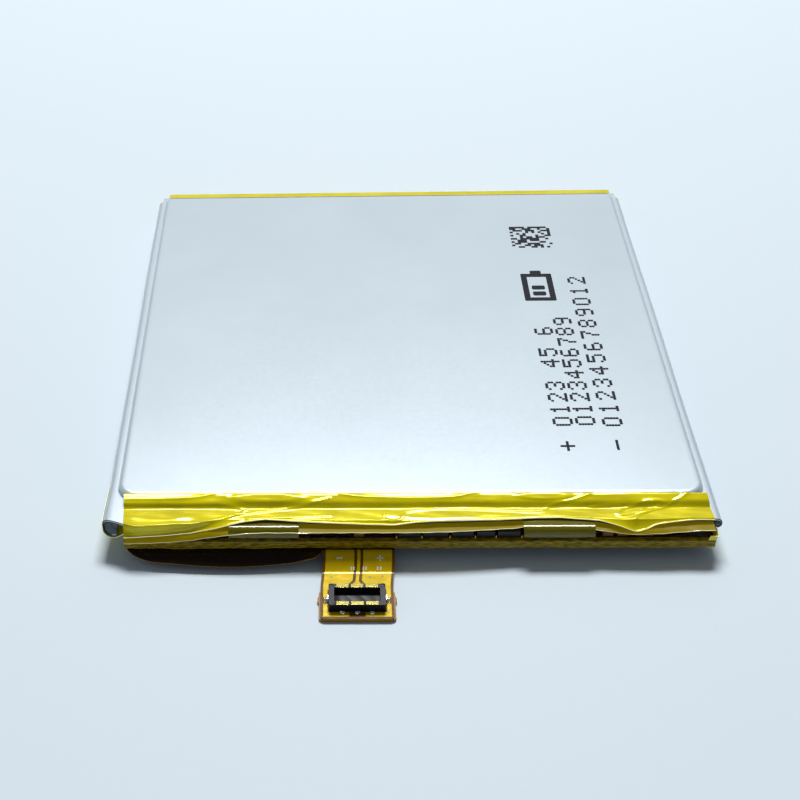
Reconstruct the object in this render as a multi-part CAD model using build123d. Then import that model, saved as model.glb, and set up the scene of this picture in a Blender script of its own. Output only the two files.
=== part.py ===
from build123d import *
import os
from math import atan2, cos, degrees, pi, radians, sin, tan

# Flat lithium pouch cell for a handheld device, with its protection board and a flexible tail.
# Millimetres. The origin is the middle of the cell's underside, +Z up, and the header with the
# board and the tail is at -Y. The laminate pouch is two drawn shells joined at a seam, whose
# margins are folded down the sides. The front margin stays flat as the header, the two electrode
# tabs come out through it, and they bend down and back onto the board that hangs below it.

# Driving dimensions
cell_thickness = 4.4
cell_width = 59.0
body_half_length = 29.4
laminate = 0.10            # aluminium laminate of the pouch
seal_thickness = 0.16      # fused plastic between the two laminates
seam_height = 3.55         # middle of the seam above the underside
header_front = -32.6
tape = 0.06                # yellow polyimide tape with its glue
clear = 0.02               # gap between pieces that only lie near each other

# Pouch shells
corner_radius = 2.0
top_round = 0.5
bottom_round = 0.8
half_stack = laminate + seal_thickness / 2
fold_gap = 0.05            # between the side wall and the tucked-in edge of the fold
fold_round = 0.45          # bend from the margin down into the fold
hem_round = 0.32           # bend that turns the fold back up on its inner side
hem_bottom = 2.7
hem_top = 3.25
back_round = 0.25
outer_leg = cell_width / 2 - half_stack
inner_leg = outer_leg - 2 * hem_round
side_wall = inner_leg - half_stack - fold_gap
side_fold_front = -31.9
side_fold_back = 28.4
back_leg = 29.85
back_leg_bottom = 1.2
back_fold_half_width = 27.4

# Winding inside the pouch
winding_half_width = 27.5
winding_half_height = 2.0
winding_turns = 4
core_half_gap = 0.16
cathode_thickness = 0.13
anode_thickness = 0.11
separator_thickness = 0.04
layer_gap = 0.0125
winding_middle = cell_thickness / 2

# Electrode tabs
tab_width = 5.1
tab_thickness = 0.08
tab_offset = 14.0
sealant_width = 6.7
tab_front = -33.58
tab_round = 0.63

# Protection board, under the header
board_left = -27.2
board_right = 28.6
board_back = -29.75
board_front = -33.55
board_bottom = 1.35
board_top = 2.15
plate_thickness = 0.10
chip_height = 0.8
chip_front = -33.1

# Flexible circuit
flex_thickness = 0.14
flex_top = board_bottom
tail_middle = -5.2
tail_width = 6.8
stiffener_thickness = 0.30
stiffener_width = 7.2
stiffener_back = -38.5
ear_reach = 0.12           # small ear on each side, at the back of the stiffener
ear_length = 0.6
tail_front = -42.0
neck_hinge = (-34.2, flex_top - flex_thickness / 2)
end_hinge = (-36.6, stiffener_thickness + flex_thickness / 2)
hinge_gap = 0.08           # each strip stops this short of the hinge line
copper_thickness = 0.03

# Connector on the tail
connector_length = 5.3
connector_width = 2.75
connector_height = 0.85
connector_middle = -39.7
wall_long = 0.5
wall_end = 0.52
socket_floor = 0.22
contact_width = 1.15
contact_pitch = 1.36
contact_skin = 0.06
solder_reach = 0.42        # how far a contact's solder stands out of the housing's side


# Helpers


def box(low, high):
    """Block between two corners."""
    size = [b - a for a, b in zip(low, high)]
    middle = [(a + b) / 2 for a, b in zip(low, high)]
    return Pos(*middle) * Box(*size)


def bent_path(points, radii):
    """Runs and bends of a path from point to point that rounds each inner point by its radius.
    Gives the start, the first heading in radians, and steps (length, None) or (radius, turn)."""
    headings = [atan2(b[1] - a[1], b[0] - a[0]) for a, b in zip(points, points[1:])]
    lengths = [(Vector(*b) - Vector(*a)).length for a, b in zip(points, points[1:])]
    turns = [(b - a + pi) % (2 * pi) - pi for a, b in zip(headings, headings[1:])]
    cuts = [0.0] + [r * tan(abs(t) / 2) for r, t in zip(radii, turns)] + [0.0]
    steps = []
    for i, length in enumerate(lengths):
        run = length - cuts[i] - cuts[i + 1]
        if run > 1e-6:
            steps.append((run, None))
        if i < len(turns):
            steps.append((radii[i], turns[i]))
    return points[0], headings[0], steps


def beside(path, offset):
    """Edges that run beside a path, at an offset to its left."""
    (u, v), heading, steps = path

    def shifted(u, v, heading):
        return (u - offset * sin(heading), v + offset * cos(heading))

    edges = []
    for size, turn in steps:
        start = shifted(u, v, heading)
        if turn is None:
            u += size * cos(heading)
            v += size * sin(heading)
            edges.append(Edge.make_line(start, shifted(u, v, heading)))
            continue
        side = 1 if turn > 0 else -1
        middle_u = u - side * size * sin(heading)
        middle_v = v + side * size * cos(heading)
        stops = []
        for share in (0.5, 1.0):
            new_heading = heading + share * turn
            u = middle_u + side * size * sin(new_heading)
            v = middle_v - side * size * cos(new_heading)
            stops.append(shifted(u, v, new_heading))
        heading += turn
        edges.append(Edge.make_three_point_arc(start, *stops))
    return edges


def strip(points, radii, low, high):
    """Flat outline of a strip between two offsets to the left of a bent path."""
    path = bent_path(points, radii)
    first, second = beside(path, low), beside(path, high)
    caps = [
        Edge.make_line(first[-1] @ 1, second[-1] @ 1),
        Edge.make_line(second[0] @ 0, first[0] @ 0),
    ]
    return Face(Wire(first + second + caps))


def along_x(face, low, high):
    """Solid from an outline drawn in Y and Z, between two X."""
    placed = Plane((low, 0, 0), x_dir=(0, 1, 0), z_dir=(1, 0, 0)) * face
    return extrude(placed, high - low, dir=(1, 0, 0))


def along_y(face, low, high):
    """Solid from an outline drawn in X and Z, between two Y."""
    placed = Plane((0, high, 0), x_dir=(1, 0, 0), z_dir=(0, -1, 0)) * face
    return extrude(placed, high - low, dir=(0, -1, 0))


def mirrored_x(shape):
    return mirror(shape, about=Plane.YZ)


def node(name, *pieces):
    """Writes one node of one or more separate solids."""
    solids = [solid for piece in pieces for solid in piece.solids()]
    shape = solids[0] if len(solids) == 1 else Compound(children=solids)
    export_step(shape, f"parts/{name}.step")


# Pouch


def rounded_block(inset, low, high, edge_round, at_top):
    """Block on the pouch's outline taken in by inset, with its top or bottom edge rounded."""
    outline = RectangleRounded(
        2 * (side_wall - inset), 2 * (body_half_length - inset), corner_radius - inset
    )
    block = extrude(Pos(0, 0, low) * outline, high - low)
    edge = block.edges().group_by(Axis.Z)[-1 if at_top else 0]
    return fillet(edge, edge_round)


def seam_layer(low, high):
    """One layer of the seam between two heights over its middle: the flat margin around the
    pouch's opening and the folds down the sides and the back."""
    margin_side = outer_leg - fold_round
    margin_back = back_leg - back_round
    margin = box(
        (-margin_side, header_front, seam_height + low),
        (margin_side, margin_back, seam_height + high),
    )
    opening = extrude(
        Pos(0, 0, seam_height + low)
        * RectangleRounded(
            2 * (side_wall - laminate),
            2 * (body_half_length - laminate),
            corner_radius - laminate,
        ),
        high - low,
    )
    side_outline = strip(
        [
            (margin_side - 0.1, seam_height),
            (outer_leg, seam_height),
            (outer_leg, hem_bottom),
            (inner_leg, hem_bottom),
            (inner_leg, hem_top),
        ],
        [fold_round, hem_round, hem_round],
        low,
        high,
    )
    side_fold = along_y(side_outline, side_fold_front, side_fold_back)
    back_outline = strip(
        [(margin_back - 0.1, seam_height), (back_leg, seam_height), (back_leg, back_leg_bottom)],
        [back_round],
        low,
        high,
    )
    back_fold = along_x(back_outline, -back_fold_half_width, back_fold_half_width)
    return (margin - opening) + side_fold + mirrored_x(side_fold) + back_fold


def pouch_lower():
    """Deep-drawn lower shell with the lower laminate of the seam."""
    outer = rounded_block(0, 0, seam_height - half_stack, bottom_round, False)
    hollow = rounded_block(laminate, laminate, seam_height, bottom_round - laminate, False)
    return outer + seam_layer(-half_stack, -half_stack + laminate) - hollow


def pouch_upper():
    """Shallow upper shell with the upper laminate of the seam."""
    outer = rounded_block(0, seam_height + half_stack - laminate, cell_thickness, top_round, True)
    hollow = rounded_block(
        laminate, seam_height, cell_thickness - laminate, top_round - laminate, True
    )
    return outer + seam_layer(half_stack - laminate, half_stack) - hollow


def seal_band():
    """Fused plastic layer between the two laminates, open where the tabs' sealant passes."""
    band = seam_layer(-seal_thickness / 2, seal_thickness / 2)
    for side in (-1, 1):
        middle = side * tab_offset
        band -= box(
            (middle - sealant_width / 2, header_front - 1, seam_height - seal_thickness),
            (middle + sealant_width / 2, 1 - body_half_length, seam_height + seal_thickness),
        )
    return band


# Winding


def spiral(offset, pitch, turns):
    """Edges of a flattened spiral: straight runs joined by half circles, each run half a pitch
    further from the middle than the last. offset is the first run's distance from the middle."""
    half_run = winding_half_width - winding_half_height
    edges = []
    for k in range(2 * turns):
        out = offset + k * pitch / 2
        further = out + pitch / 2
        side = 1 if k % 2 == 0 else -1
        edges.append(Edge.make_line((-side * half_run, -side * out), (side * half_run, -side * out)))
        bulge = side * (half_run + (out + further) / 2)
        rise = side * (further - out) / 2
        edges.append(
            Edge.make_three_point_arc(
                (side * half_run, -side * out), (bulge, rise), (side * half_run, side * further)
            )
        )
    return edges


def wound_layer(low, high, pitch, half_length):
    """One foil of the winding between two offsets from the spiral."""
    first, second = spiral(low, pitch, winding_turns), spiral(high, pitch, winding_turns)
    caps = [
        Edge.make_line(first[-1] @ 1, second[-1] @ 1),
        Edge.make_line(second[0] @ 0, first[0] @ 0),
    ]
    outline = Pos(0, winding_middle) * Face(Wire(first + second + caps))
    return along_y(outline, -half_length, half_length)


def winding():
    """The four foils that are wound together, from the inside out, by name."""
    foils = [
        ("separator_inner", separator_thickness, 27.6),
        ("cathode_foil", cathode_thickness, 26.8),
        ("separator_outer", separator_thickness, 27.6),
        ("anode_foil", anode_thickness, 27.2),
    ]
    pitch = sum(thickness for _, thickness, _ in foils) + len(foils) * layer_gap
    found, low = {}, core_half_gap
    for name, thickness, half_length in foils:
        found[name] = wound_layer(low, low + thickness, pitch, half_length)
        low += thickness + layer_gap
    outermost = core_half_gap + (winding_turns + 1) * pitch - layer_gap
    return found, outermost


# Tabs


def tab(side):
    """Metal strip from the winding's core out through the seam, bent down onto the board."""
    route = [
        (-24.0, winding_middle),
        (-28.0, winding_middle),
        (-28.9, seam_height),
        (tab_front, seam_height),
        (tab_front, board_top + plate_thickness + tab_thickness / 2),
        (-30.8, board_top + plate_thickness + tab_thickness / 2),
    ]
    outline = strip(
        route, [0.3, 0.3, tab_round, tab_round], -tab_thickness / 2, tab_thickness / 2
    )
    middle = side * tab_offset
    return along_x(outline, middle - tab_width / 2, middle + tab_width / 2)


def tab_sealant(side):
    """Plastic film fused around a tab where it passes the seam and the first bend."""
    outline = strip(
        [(0.2 - body_half_length, seam_height), (tab_front, seam_height), (tab_front, 2.75)],
        [tab_round],
        -seal_thickness / 2,
        seal_thickness / 2,
    )
    middle = side * tab_offset
    film = along_x(outline, middle - sealant_width / 2, middle + sealant_width / 2)
    return film - tab(side)


# Protection board


def chips():
    """Row of chip packages in the middle of the board, by name, as (left, right, depth)."""
    packages = {
        "gauge_chip": (-1.2, 0.95, 2.4),
        "protection_chip": (1.2, 3.6, 2.4),
        "power_switch_1": (3.9, 6.0, 2.6),
        "power_switch_2": (6.3, 8.0, 2.6),
        "backup_chip": (8.25, 10.4, 2.2),
    }
    return {
        name: box((left, chip_front, board_top), (right, chip_front + depth, board_top + chip_height))
        for name, (left, right, depth) in packages.items()
    }


def small_chips(lefts, length, width, height, front):
    """Row of small two-ended parts of one size."""
    return [
        box((left, front, board_top), (left + length, front + width, board_top + height))
        for left in lefts
    ]


# Flexible circuit


def flex_root():
    """Flat sheet under the board, with a rounded wing in front of it and the start of the tail."""
    left, right = tail_middle - tail_width / 2, tail_middle + tail_width / 2
    back, stop = -30.2, neck_hinge[0] + hinge_gap
    wing_left, wing_tip = -26.8, -33.7
    outline = Face(
        Wire(
            [
                Edge.make_line((wing_left, back), (wing_left, wing_tip)),
                Edge.make_three_point_arc((wing_left, wing_tip), (-25.6, -35.1), (-23.4, -35.7)),
                Edge.make_three_point_arc((-23.4, -35.7), (-17.5, -35.9), (-11.0, -35.2)),
                Edge.make_three_point_arc((-11.0, -35.2), (-9.4, -34.9), (left, stop)),
                Edge.make_line((left, stop), (right, stop)),
                Edge.make_line((right, stop), (right, back)),
                Edge.make_line((right, back), (wing_left, back)),
            ]
        )
    )
    return extrude(Pos(0, 0, flex_top - flex_thickness) * outline, flex_thickness)


def flex_neck():
    """Free strip of the tail between its two bends."""
    (y1, z1), (y2, z2) = neck_hinge, end_hinge
    length = (Vector(y2, z2) - Vector(y1, z1)).length
    share = hinge_gap / length
    ends = [(y1 + s * (y2 - y1), z1 + s * (z2 - z1)) for s in (share, 1 - share)]
    outline = strip(ends, [], -flex_thickness / 2, flex_thickness / 2)
    return along_x(outline, tail_middle - tail_width / 2, tail_middle + tail_width / 2)


def tail_plate(width, back, low, high, round_):
    """Flat plate of the tail's end with rounded front corners."""
    plate = box((tail_middle - width / 2, tail_front, low), (tail_middle + width / 2, back, high))
    corners = plate.edges().filter_by(Axis.Z).group_by(Axis.Y)[0]
    return fillet(corners, round_)


def stiffener():
    """Backing plate under the tail's end, with a small ear at each back corner."""
    reach = stiffener_width / 2 + ear_reach
    ears = box(
        (tail_middle - reach, stiffener_back - ear_length, 0),
        (tail_middle + reach, stiffener_back, stiffener_thickness),
    )
    return tail_plate(stiffener_width, stiffener_back, 0, stiffener_thickness, 0.35) + ears


def tail_copper():
    """Copper of the tail's end as three separate areas, by name."""
    low = stiffener_thickness + flex_thickness
    high = low + copper_thickness
    rim, gap, trace = 0.25, 0.28, 0.3
    back = end_hinge[0] - 0.2
    left, right = tail_middle - tail_width / 2 + rim, tail_middle + tail_width / 2 - rim
    solder_back = connector_middle + connector_width / 2 + solder_reach
    keep_out = box(
        (tail_middle - connector_length / 2 - 0.05, 2 * connector_middle - solder_back, low - 1),
        (tail_middle + connector_length / 2 + 0.05, solder_back, high + 1),
    )
    hold_down_gap = box(
        (left - 1, connector_middle - 0.45, low - 1), (right + 1, connector_middle + 0.45, high + 1)
    )
    inner_left, inner_right = tail_middle - gap - trace / 2, tail_middle + gap + trace / 2
    areas = {
        "copper_negative": box((left, tail_front + rim, low), (inner_left, back, high)),
        "copper_positive": box((inner_right, tail_front + rim, low), (right, back, high)),
    }
    areas = {name: area - keep_out - hold_down_gap for name, area in areas.items()}
    areas["copper_sense"] = box(
        (tail_middle - trace / 2, solder_back, low), (tail_middle + trace / 2, back, high)
    )
    return areas


# Connector


def connector_housing():
    """Moulded ring around the socket, with slots in its long walls where the contacts sit."""
    base = stiffener_thickness + flex_thickness
    half_length, half_width = connector_length / 2, connector_width / 2
    low = (tail_middle - half_length, connector_middle - half_width, base)
    high = (tail_middle + half_length, connector_middle + half_width, base + connector_height)
    body = box(low, high)
    body = fillet(body.edges().filter_by(Axis.Z), 0.25)
    body -= box(
        (low[0] + wall_end, low[1] + wall_long, base + socket_floor),
        (high[0] - wall_end, high[1] - wall_long, high[2] + 1),
    )
    for contact in contacts():
        body -= contact
    return body


def contacts():
    """Six formed contacts, three on each long wall: a foot on the board and a cap on the wall."""
    base = stiffener_thickness + flex_thickness
    top = base + connector_height
    found = []
    for side in (1, -1):
        for column in (-1, 0, 1):
            middle = tail_middle + column * contact_pitch
            low_x, high_x = middle - contact_width / 2, middle + contact_width / 2
            outer = connector_middle + side * connector_width / 2
            inner = outer - side * wall_long
            cap = box(
                (low_x, min(outer, inner) + 0.03, top - contact_skin),
                (high_x, max(outer, inner) - 0.03, top + 0.02),
            )
            blade_y = sorted((inner, inner + side * contact_skin))
            blade = box(
                (low_x + 0.15, blade_y[0], base + socket_floor + 0.05), (high_x - 0.15, blade_y[1], top)
            )
            stem_y = sorted((outer, inner + side * 0.1))
            stem = box(
                (middle - 0.2, stem_y[0], base), (middle + 0.2, stem_y[1], base + 0.12)
            )
            riser_y = sorted((inner, inner + side * 0.16))
            riser = box((middle - 0.2, riser_y[0], base), (middle + 0.2, riser_y[1], top - 0.02))
            foot_y = sorted((outer, outer + side * 0.3))
            foot = box((middle - 0.2, foot_y[0], base), (middle + 0.2, foot_y[1], base + 0.12))
            found.append(cap + blade + stem + riser + foot)
    return found


def contact_solder():
    """Fillet of solder over each contact's foot."""
    base = stiffener_thickness + flex_thickness
    found = []
    for contact in contacts():
        bounds = contact.bounding_box()
        middle = (bounds.min.X + bounds.max.X) / 2
        side = 1 if (bounds.min.Y + bounds.max.Y) / 2 > connector_middle else -1
        outer = connector_middle + side * connector_width / 2
        profile = Face(
            Wire.make_polygon(
                [
                    (outer + side * 0.03, base),
                    (outer + side * solder_reach, base),
                    (outer + side * (solder_reach - 0.06), base + 0.14),
                    (outer + side * 0.03, base + 0.30),
                ]
            )
        )
        found.append(along_x(profile, middle - 0.32, middle + 0.32) - contact)
    return found


def hold_downs():
    """Metal clip at each end of the housing."""
    base = stiffener_thickness + flex_thickness
    found = []
    for side in (-1, 1):
        end = tail_middle + side * connector_length / 2
        leg = sorted((end + side * 0.01, end + side * 0.11))
        foot = sorted((end + side * 0.01, end + side * 0.36))
        front, back = connector_middle - 0.3, connector_middle + 0.3
        upright = box((leg[0], front, base), (leg[1], back, base + 0.5))
        flat = box((foot[0], front, base), (foot[1], back, base + 0.1))
        found.append(upright + flat)
    return found


def hold_down_solder():
    """Fillet of solder over the foot of each clip."""
    base = stiffener_thickness + flex_thickness
    found = []
    for side in (-1, 1):
        end = tail_middle + side * (connector_length / 2 + 0.11)
        profile = Face(
            Wire.make_polygon(
                [
                    (end, base + 0.1),
                    (end + side * 0.25, base + 0.1),
                    (end + side * 0.2, base + 0.2),
                    (end, base + 0.36),
                ]
            )
        )
        found.append(along_y(profile, connector_middle - 0.28, connector_middle + 0.28))
    return found


# Tapes


def header_tape():
    """Tape from the edge of the top face down over the header and a little past its front."""
    top = cell_thickness + clear
    low = seam_height + half_stack + clear
    outline = strip(
        [(-28.75, top), (-29.25, top), (-29.66, low), (-33.1, low)], [0.5, 0.4], -tape, 0
    )
    return along_x(outline, -27.4, 28.2)


def lip_film():
    """Clear film under the header tape, bent down in front of the tabs and the chips."""
    thickness = 0.04
    middle = seam_height + half_stack - laminate + 0.04 + thickness / 2
    front = tab_front - half_stack + laminate - 0.04 - thickness / 2
    outline = strip(
        [(header_front - 0.05, middle), (front, middle), (front, 2.6)],
        [middle - (seam_height - tab_round)],
        -thickness / 2,
        thickness / 2,
    )
    return along_x(outline, -27.0, 28.3)


def end_tape():
    """Tape over the back edge, from the top face down the outside of the back fold."""
    top = cell_thickness + clear
    front = back_leg + half_stack + clear
    outline = strip([(28.3, top), (front, top), (front, 0.75)], [0.45], 0, tape)
    return along_x(outline, -28.0, 28.1)


def fold_tape():
    """Tape that hugs the outside and the underside of the left fold near the header."""
    off = clear + tape / 2
    outer, under = cell_width / 2 + off, hem_bottom - half_stack - off
    outline = strip(
        [(outer, seam_height - 0.25), (outer, under), (side_wall + 0.15, under)],
        [hem_round + half_stack + off],
        -tape / 2,
        tape / 2,
    )
    return mirrored_x(along_y(outline, -32.0, -26.5))


def board_end_tape():
    """Tape over the right end of the board, from its underside up to the fold."""
    left = board_right + 2 * clear
    return box((left, board_front, board_bottom), (left + tape, -30.2, hem_bottom - half_stack - clear))


def board_edge_tape():
    """Tape round the front edge of the board."""
    off = clear + tape / 2
    outline = strip(
        [
            (-33.1, board_top + off),
            (board_front - off, board_top + off),
            (board_front - off, board_bottom),
        ],
        [off],
        -tape / 2,
        tape / 2,
    )
    return along_x(outline, board_left, board_right)


def board_cushion():
    """Foam strip glued between the pouch's front wall and the board."""
    return box((-25.0, board_back, 1.45), (25.0, -body_half_length, 2.05))


def main():
    os.makedirs("parts", exist_ok=True)
    node("pouch_lower", pouch_lower())
    node("pouch_upper", pouch_upper())
    node("seal_band", seal_band())

    foils, outermost = winding()
    for name, foil in foils.items():
        node(name, foil)
    tape_top = winding_middle + outermost + layer_gap
    node("winding_tape", box((8.0, -24.0, tape_top), (20.0, 24.0, tape_top + 0.04)))

    for side, name in ((-1, "negative"), (1, "positive")):
        node(f"{name}_tab", tab(side))
        node(f"{name}_tab_sealant", tab_sealant(side))
        plate = box(
            (side * tab_offset - 3.0, -32.8, board_top),
            (side * tab_offset + 3.0, -30.4, board_top + plate_thickness),
        )
        node(f"{name}_weld_plate", plate)

    node(
        "circuit_board",
        box((board_left, board_front, board_bottom), (board_right, board_back, board_top)),
    )
    for name, chip in chips().items():
        node(name, chip)
    node("chip_resistors", *small_chips([-9.6, -8.2, -6.8], 1.0, 0.5, 0.35, -32.9))
    node("chip_capacitors", *small_chips([-5.4, 18.2, 19.6], 1.0, 0.5, 0.5, -32.9))
    node("thermistor", *small_chips([21.4], 1.6, 0.8, 0.6, -32.9))
    node("fuse", *small_chips([-23.0], 1.6, 0.8, 0.5, -32.9))
    node("board_cushion", board_cushion())

    node("flex_root", flex_root())
    node("flex_neck", flex_neck())
    flex_low = stiffener_thickness
    node(
        "flex_end",
        tail_plate(tail_width, end_hinge[0] - hinge_gap, flex_low, flex_low + flex_thickness, 0.35),
    )
    node("stiffener", stiffener())
    for name, area in tail_copper().items():
        node(name, area)

    node("connector_housing", connector_housing())
    rows = contacts()
    node("contacts_back", *rows[:3])
    node("contacts_front", *rows[3:])
    node("contact_solder", *contact_solder())
    node("hold_downs", *hold_downs())
    node("hold_down_solder", *hold_down_solder())

    node("header_tape", header_tape())
    node("lip_film", lip_film())
    node("end_tape", end_tape())
    node("fold_tape", fold_tape())
    node("board_end_tape", board_end_tape())
    node("board_edge_tape", board_edge_tape())


main()
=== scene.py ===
import math

import bmesh
import bpy
import numpy as np
from mathutils import Matrix, Vector


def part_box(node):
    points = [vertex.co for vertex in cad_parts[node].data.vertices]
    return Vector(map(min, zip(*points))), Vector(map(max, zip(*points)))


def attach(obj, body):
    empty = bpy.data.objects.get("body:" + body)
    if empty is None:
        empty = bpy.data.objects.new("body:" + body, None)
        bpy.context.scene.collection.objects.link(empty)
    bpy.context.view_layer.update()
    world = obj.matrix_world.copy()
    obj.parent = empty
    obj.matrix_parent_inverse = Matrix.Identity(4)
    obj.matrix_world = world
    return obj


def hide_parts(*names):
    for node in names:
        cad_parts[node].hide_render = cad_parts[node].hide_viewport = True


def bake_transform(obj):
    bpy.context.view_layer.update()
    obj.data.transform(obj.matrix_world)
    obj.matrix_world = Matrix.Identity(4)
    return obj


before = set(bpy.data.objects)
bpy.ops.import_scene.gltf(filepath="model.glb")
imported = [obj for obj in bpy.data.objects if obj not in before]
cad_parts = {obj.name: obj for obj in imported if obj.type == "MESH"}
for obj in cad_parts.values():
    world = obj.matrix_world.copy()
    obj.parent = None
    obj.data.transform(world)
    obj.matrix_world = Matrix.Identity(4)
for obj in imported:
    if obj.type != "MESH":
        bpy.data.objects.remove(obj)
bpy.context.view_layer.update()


# ---------------------------------------------------------------------------------------------
# Table, camera and lamps. The cell lies on a plain pale sheet of smooth card that is lit by a
# broad white lamp above and behind it and by smaller ones in front, as on a product table.
# ---------------------------------------------------------------------------------------------
MM = 0.001


def linear(hex_colour):
    """The linear colour that a shader takes, from an sRGB hex value."""
    channels = [int(hex_colour[i:i + 2], 16) / 255 for i in (1, 3, 5)]
    curve = [c / 12.92 if c <= 0.04045 else ((c + 0.055) / 1.055) ** 2.4 for c in channels]
    return (*curve, 1.0)


def add_node(tree, kind, values=None, links=None, **properties):
    """Adds a node, sets its properties, its inputs' values and the links into its inputs."""
    made = tree.nodes.new(kind)
    for name, value in properties.items():
        setattr(made, name, value)
    for name, value in (values or {}).items():
        made.inputs[name].default_value = value
    for name, socket in (links or {}).items():
        tree.links.new(socket, made.inputs[name])
    return made


def new_material(name):
    """An empty node material, and its tree."""
    made = bpy.data.materials.new(name)
    made.use_nodes = True
    made.node_tree.nodes.clear()
    return made, made.node_tree


def set_surface(tree, shader):
    """Makes a shader the material's surface."""
    add_node(tree, "ShaderNodeOutputMaterial", links={"Surface": shader.outputs[0]})


def grid_quads(rows, columns, around=False):
    """Corner numbers of the quads of a grid of points, row by row; around joins the last column
    to the first."""
    r = np.arange(rows - 1)[:, None]
    c = np.arange(columns if around else columns - 1)[None, :]
    after = (c + 1) % columns
    quads = np.stack(
        [r * columns + c, r * columns + after, (r + 1) * columns + after, (r + 1) * columns + c],
        axis=-1,
    )
    return quads.reshape(-1, 4)


def closed_rings(rings, around):
    """Corner numbers of the faces of a body of rings of points, with both end rings closed."""
    ring = np.arange(around)
    return [*grid_quads(rings, around, around=True), ring[::-1], (rings - 1) * around + ring]


def new_piece(name, points, faces, material, smooth=True):
    """A mesh object from points in millimetres and faces. Points that no face uses are dropped,
    and open edges are marked sharp, so that a wall's rim is shaded apart from its faces."""
    points = np.asarray(points, float).reshape(-1, 3)
    used = np.unique(np.concatenate([np.ravel(face) for face in faces]))
    place = np.zeros(len(points), int)
    place[used] = np.arange(len(used))
    mesh = bpy.data.meshes.new(name)
    mesh.from_pydata((points[used] * MM).tolist(), [], [place[np.ravel(f)].tolist() for f in faces])
    if smooth:
        mesh.shade_smooth()
    else:
        mesh.shade_flat()
    loop_edges = np.empty(len(mesh.loops), int)
    mesh.loops.foreach_get("edge_index", loop_edges)
    open_edges = np.bincount(loop_edges, minlength=len(mesh.edges)) == 1
    mesh.attributes.new("sharp_edge", "BOOLEAN", "EDGE").data.foreach_set("value", open_edges)
    mesh.materials.append(material)
    made = bpy.data.objects.new(name, mesh)
    bpy.context.scene.collection.objects.link(made)
    return made


# Smooth coated card is matt, with a grain that can only just be seen.
card, tree = new_material("smooth pale card")
grain = add_node(
    tree, "ShaderNodeTexNoise",
    {"Scale": 1 / (0.9 * MM), "Detail": 3.0},
    {"Vector": add_node(tree, "ShaderNodeTexCoord").outputs["Object"]},
)
sheen = add_node(
    tree, "ShaderNodeMapRange", {"To Min": 0.55, "To Max": 0.65}, {"Value": grain.outputs["Fac"]}
)
set_surface(tree, add_node(
    tree, "ShaderNodeBsdfPrincipled",
    {"Base Color": linear("#D9E6EF"), "Specular IOR Level": 0.3},
    {"Roughness": sheen.outputs["Result"]},
))
table_half, table_top = 900.0, -0.004
table = new_piece(
    "table",
    [(x, y, table_top) for x in (-table_half, table_half) for y in (-table_half, table_half)],
    [(0, 2, 3, 1)],
    card,
)

world = bpy.data.worlds.new("studio air")
world.use_nodes = True
world.node_tree.nodes["Background"].inputs["Color"].default_value = linear("#E6F0FA")
world.node_tree.nodes["Background"].inputs["Strength"].default_value = 0.12
bpy.context.scene.world = world
bpy.context.scene.view_settings.view_transform = "Standard"


def add_lamp(name, place, target, width, height, power, colour="#FFFFFF"):
    """A rectangular lamp at a place in millimetres, facing its target."""
    data = bpy.data.lights.new(name, "AREA")
    data.shape = "RECTANGLE"
    data.size, data.size_y = width * MM, height * MM
    data.energy = power
    data.color = linear(colour)[:3]
    lamp = bpy.data.objects.new(name, data)
    lamp.location = Vector(place) * MM
    lamp.rotation_euler = (Vector(target) - Vector(place)).to_track_quat("-Z", "Y").to_euler()
    bpy.context.scene.collection.objects.link(lamp)


add_lamp("high rear softbox", (20, 440, 700), (0, -200, 0), 340, 165, 7.0)
add_lamp("rear white card", (0, 600, 420), (0, 0, 0), 900, 420, 0.46, "#FFFEFC")
add_lamp("low front card", (60, -520, 130), (0, -30, 2), 500, 160, 0.16)
add_lamp("left white card", (-420, 40, 220), (0, 0, 0), 300, 260, 0.12)

# The camera stands in front of the header, a little to its left, with a long lens shifted sideways.
camera_place = (-7.77, -135.71, 97.74)
camera_turn, camera_dip, camera_roll = 2.80, 37.51, -2.05
camera = bpy.data.objects.new("camera", bpy.data.cameras.new("camera"))
camera.data.lens = 65.67
camera.data.sensor_width = 36.0
camera.data.shift_x = 0.1605
camera.data.clip_start, camera.data.clip_end = 0.005, 10.0
camera.matrix_world = (
    Matrix.Translation(Vector(camera_place) * MM)
    @ Matrix.Rotation(math.radians(camera_turn), 4, "Z")
    @ Matrix.Rotation(math.radians(90 - camera_dip), 4, "X")
    @ Matrix.Rotation(math.radians(camera_roll), 4, "Z")
)
bpy.context.scene.collection.objects.link(camera)
bpy.context.scene.camera = camera


# ---------------------------------------------------------------------------------------------
# Pouch laminate. Two sheets of aluminium foil between nylon and polypropylene, about 0.1 mm
# thick. Each is cold drawn into a tray with soft corners, and the trays' margins are fused into
# one seam: flat at the header, rolled under along both sides and turned down at the back.
# ---------------------------------------------------------------------------------------------
def node_box(node):
    """Lowest and highest corner of a CAD node in millimetres."""
    return np.array([tuple(corner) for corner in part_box(node)]) / MM


laminate = 0.10
seal_thickness = 0.16
half_stack = laminate + seal_thickness / 2
outer_leg, back_leg, cell_top = node_box("pouch_upper")[1] - (half_stack, half_stack, 0)
seam_height = node_box("pouch_lower")[1][2] + seal_thickness / 2
hem_round = 0.32
inner_leg = outer_leg - 2 * hem_round
side_wall = inner_leg - half_stack - 0.05
body_half_length = -node_box("board_cushion")[1][1]
tray_corner = 2.0
fold_round = 0.45
hem_bottom = 2.7
side_fold_back = 28.4
back_round = 0.25
back_leg_bottom = 1.2
back_fold_half_width = 27.4
seam_top = seam_height + half_stack


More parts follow.
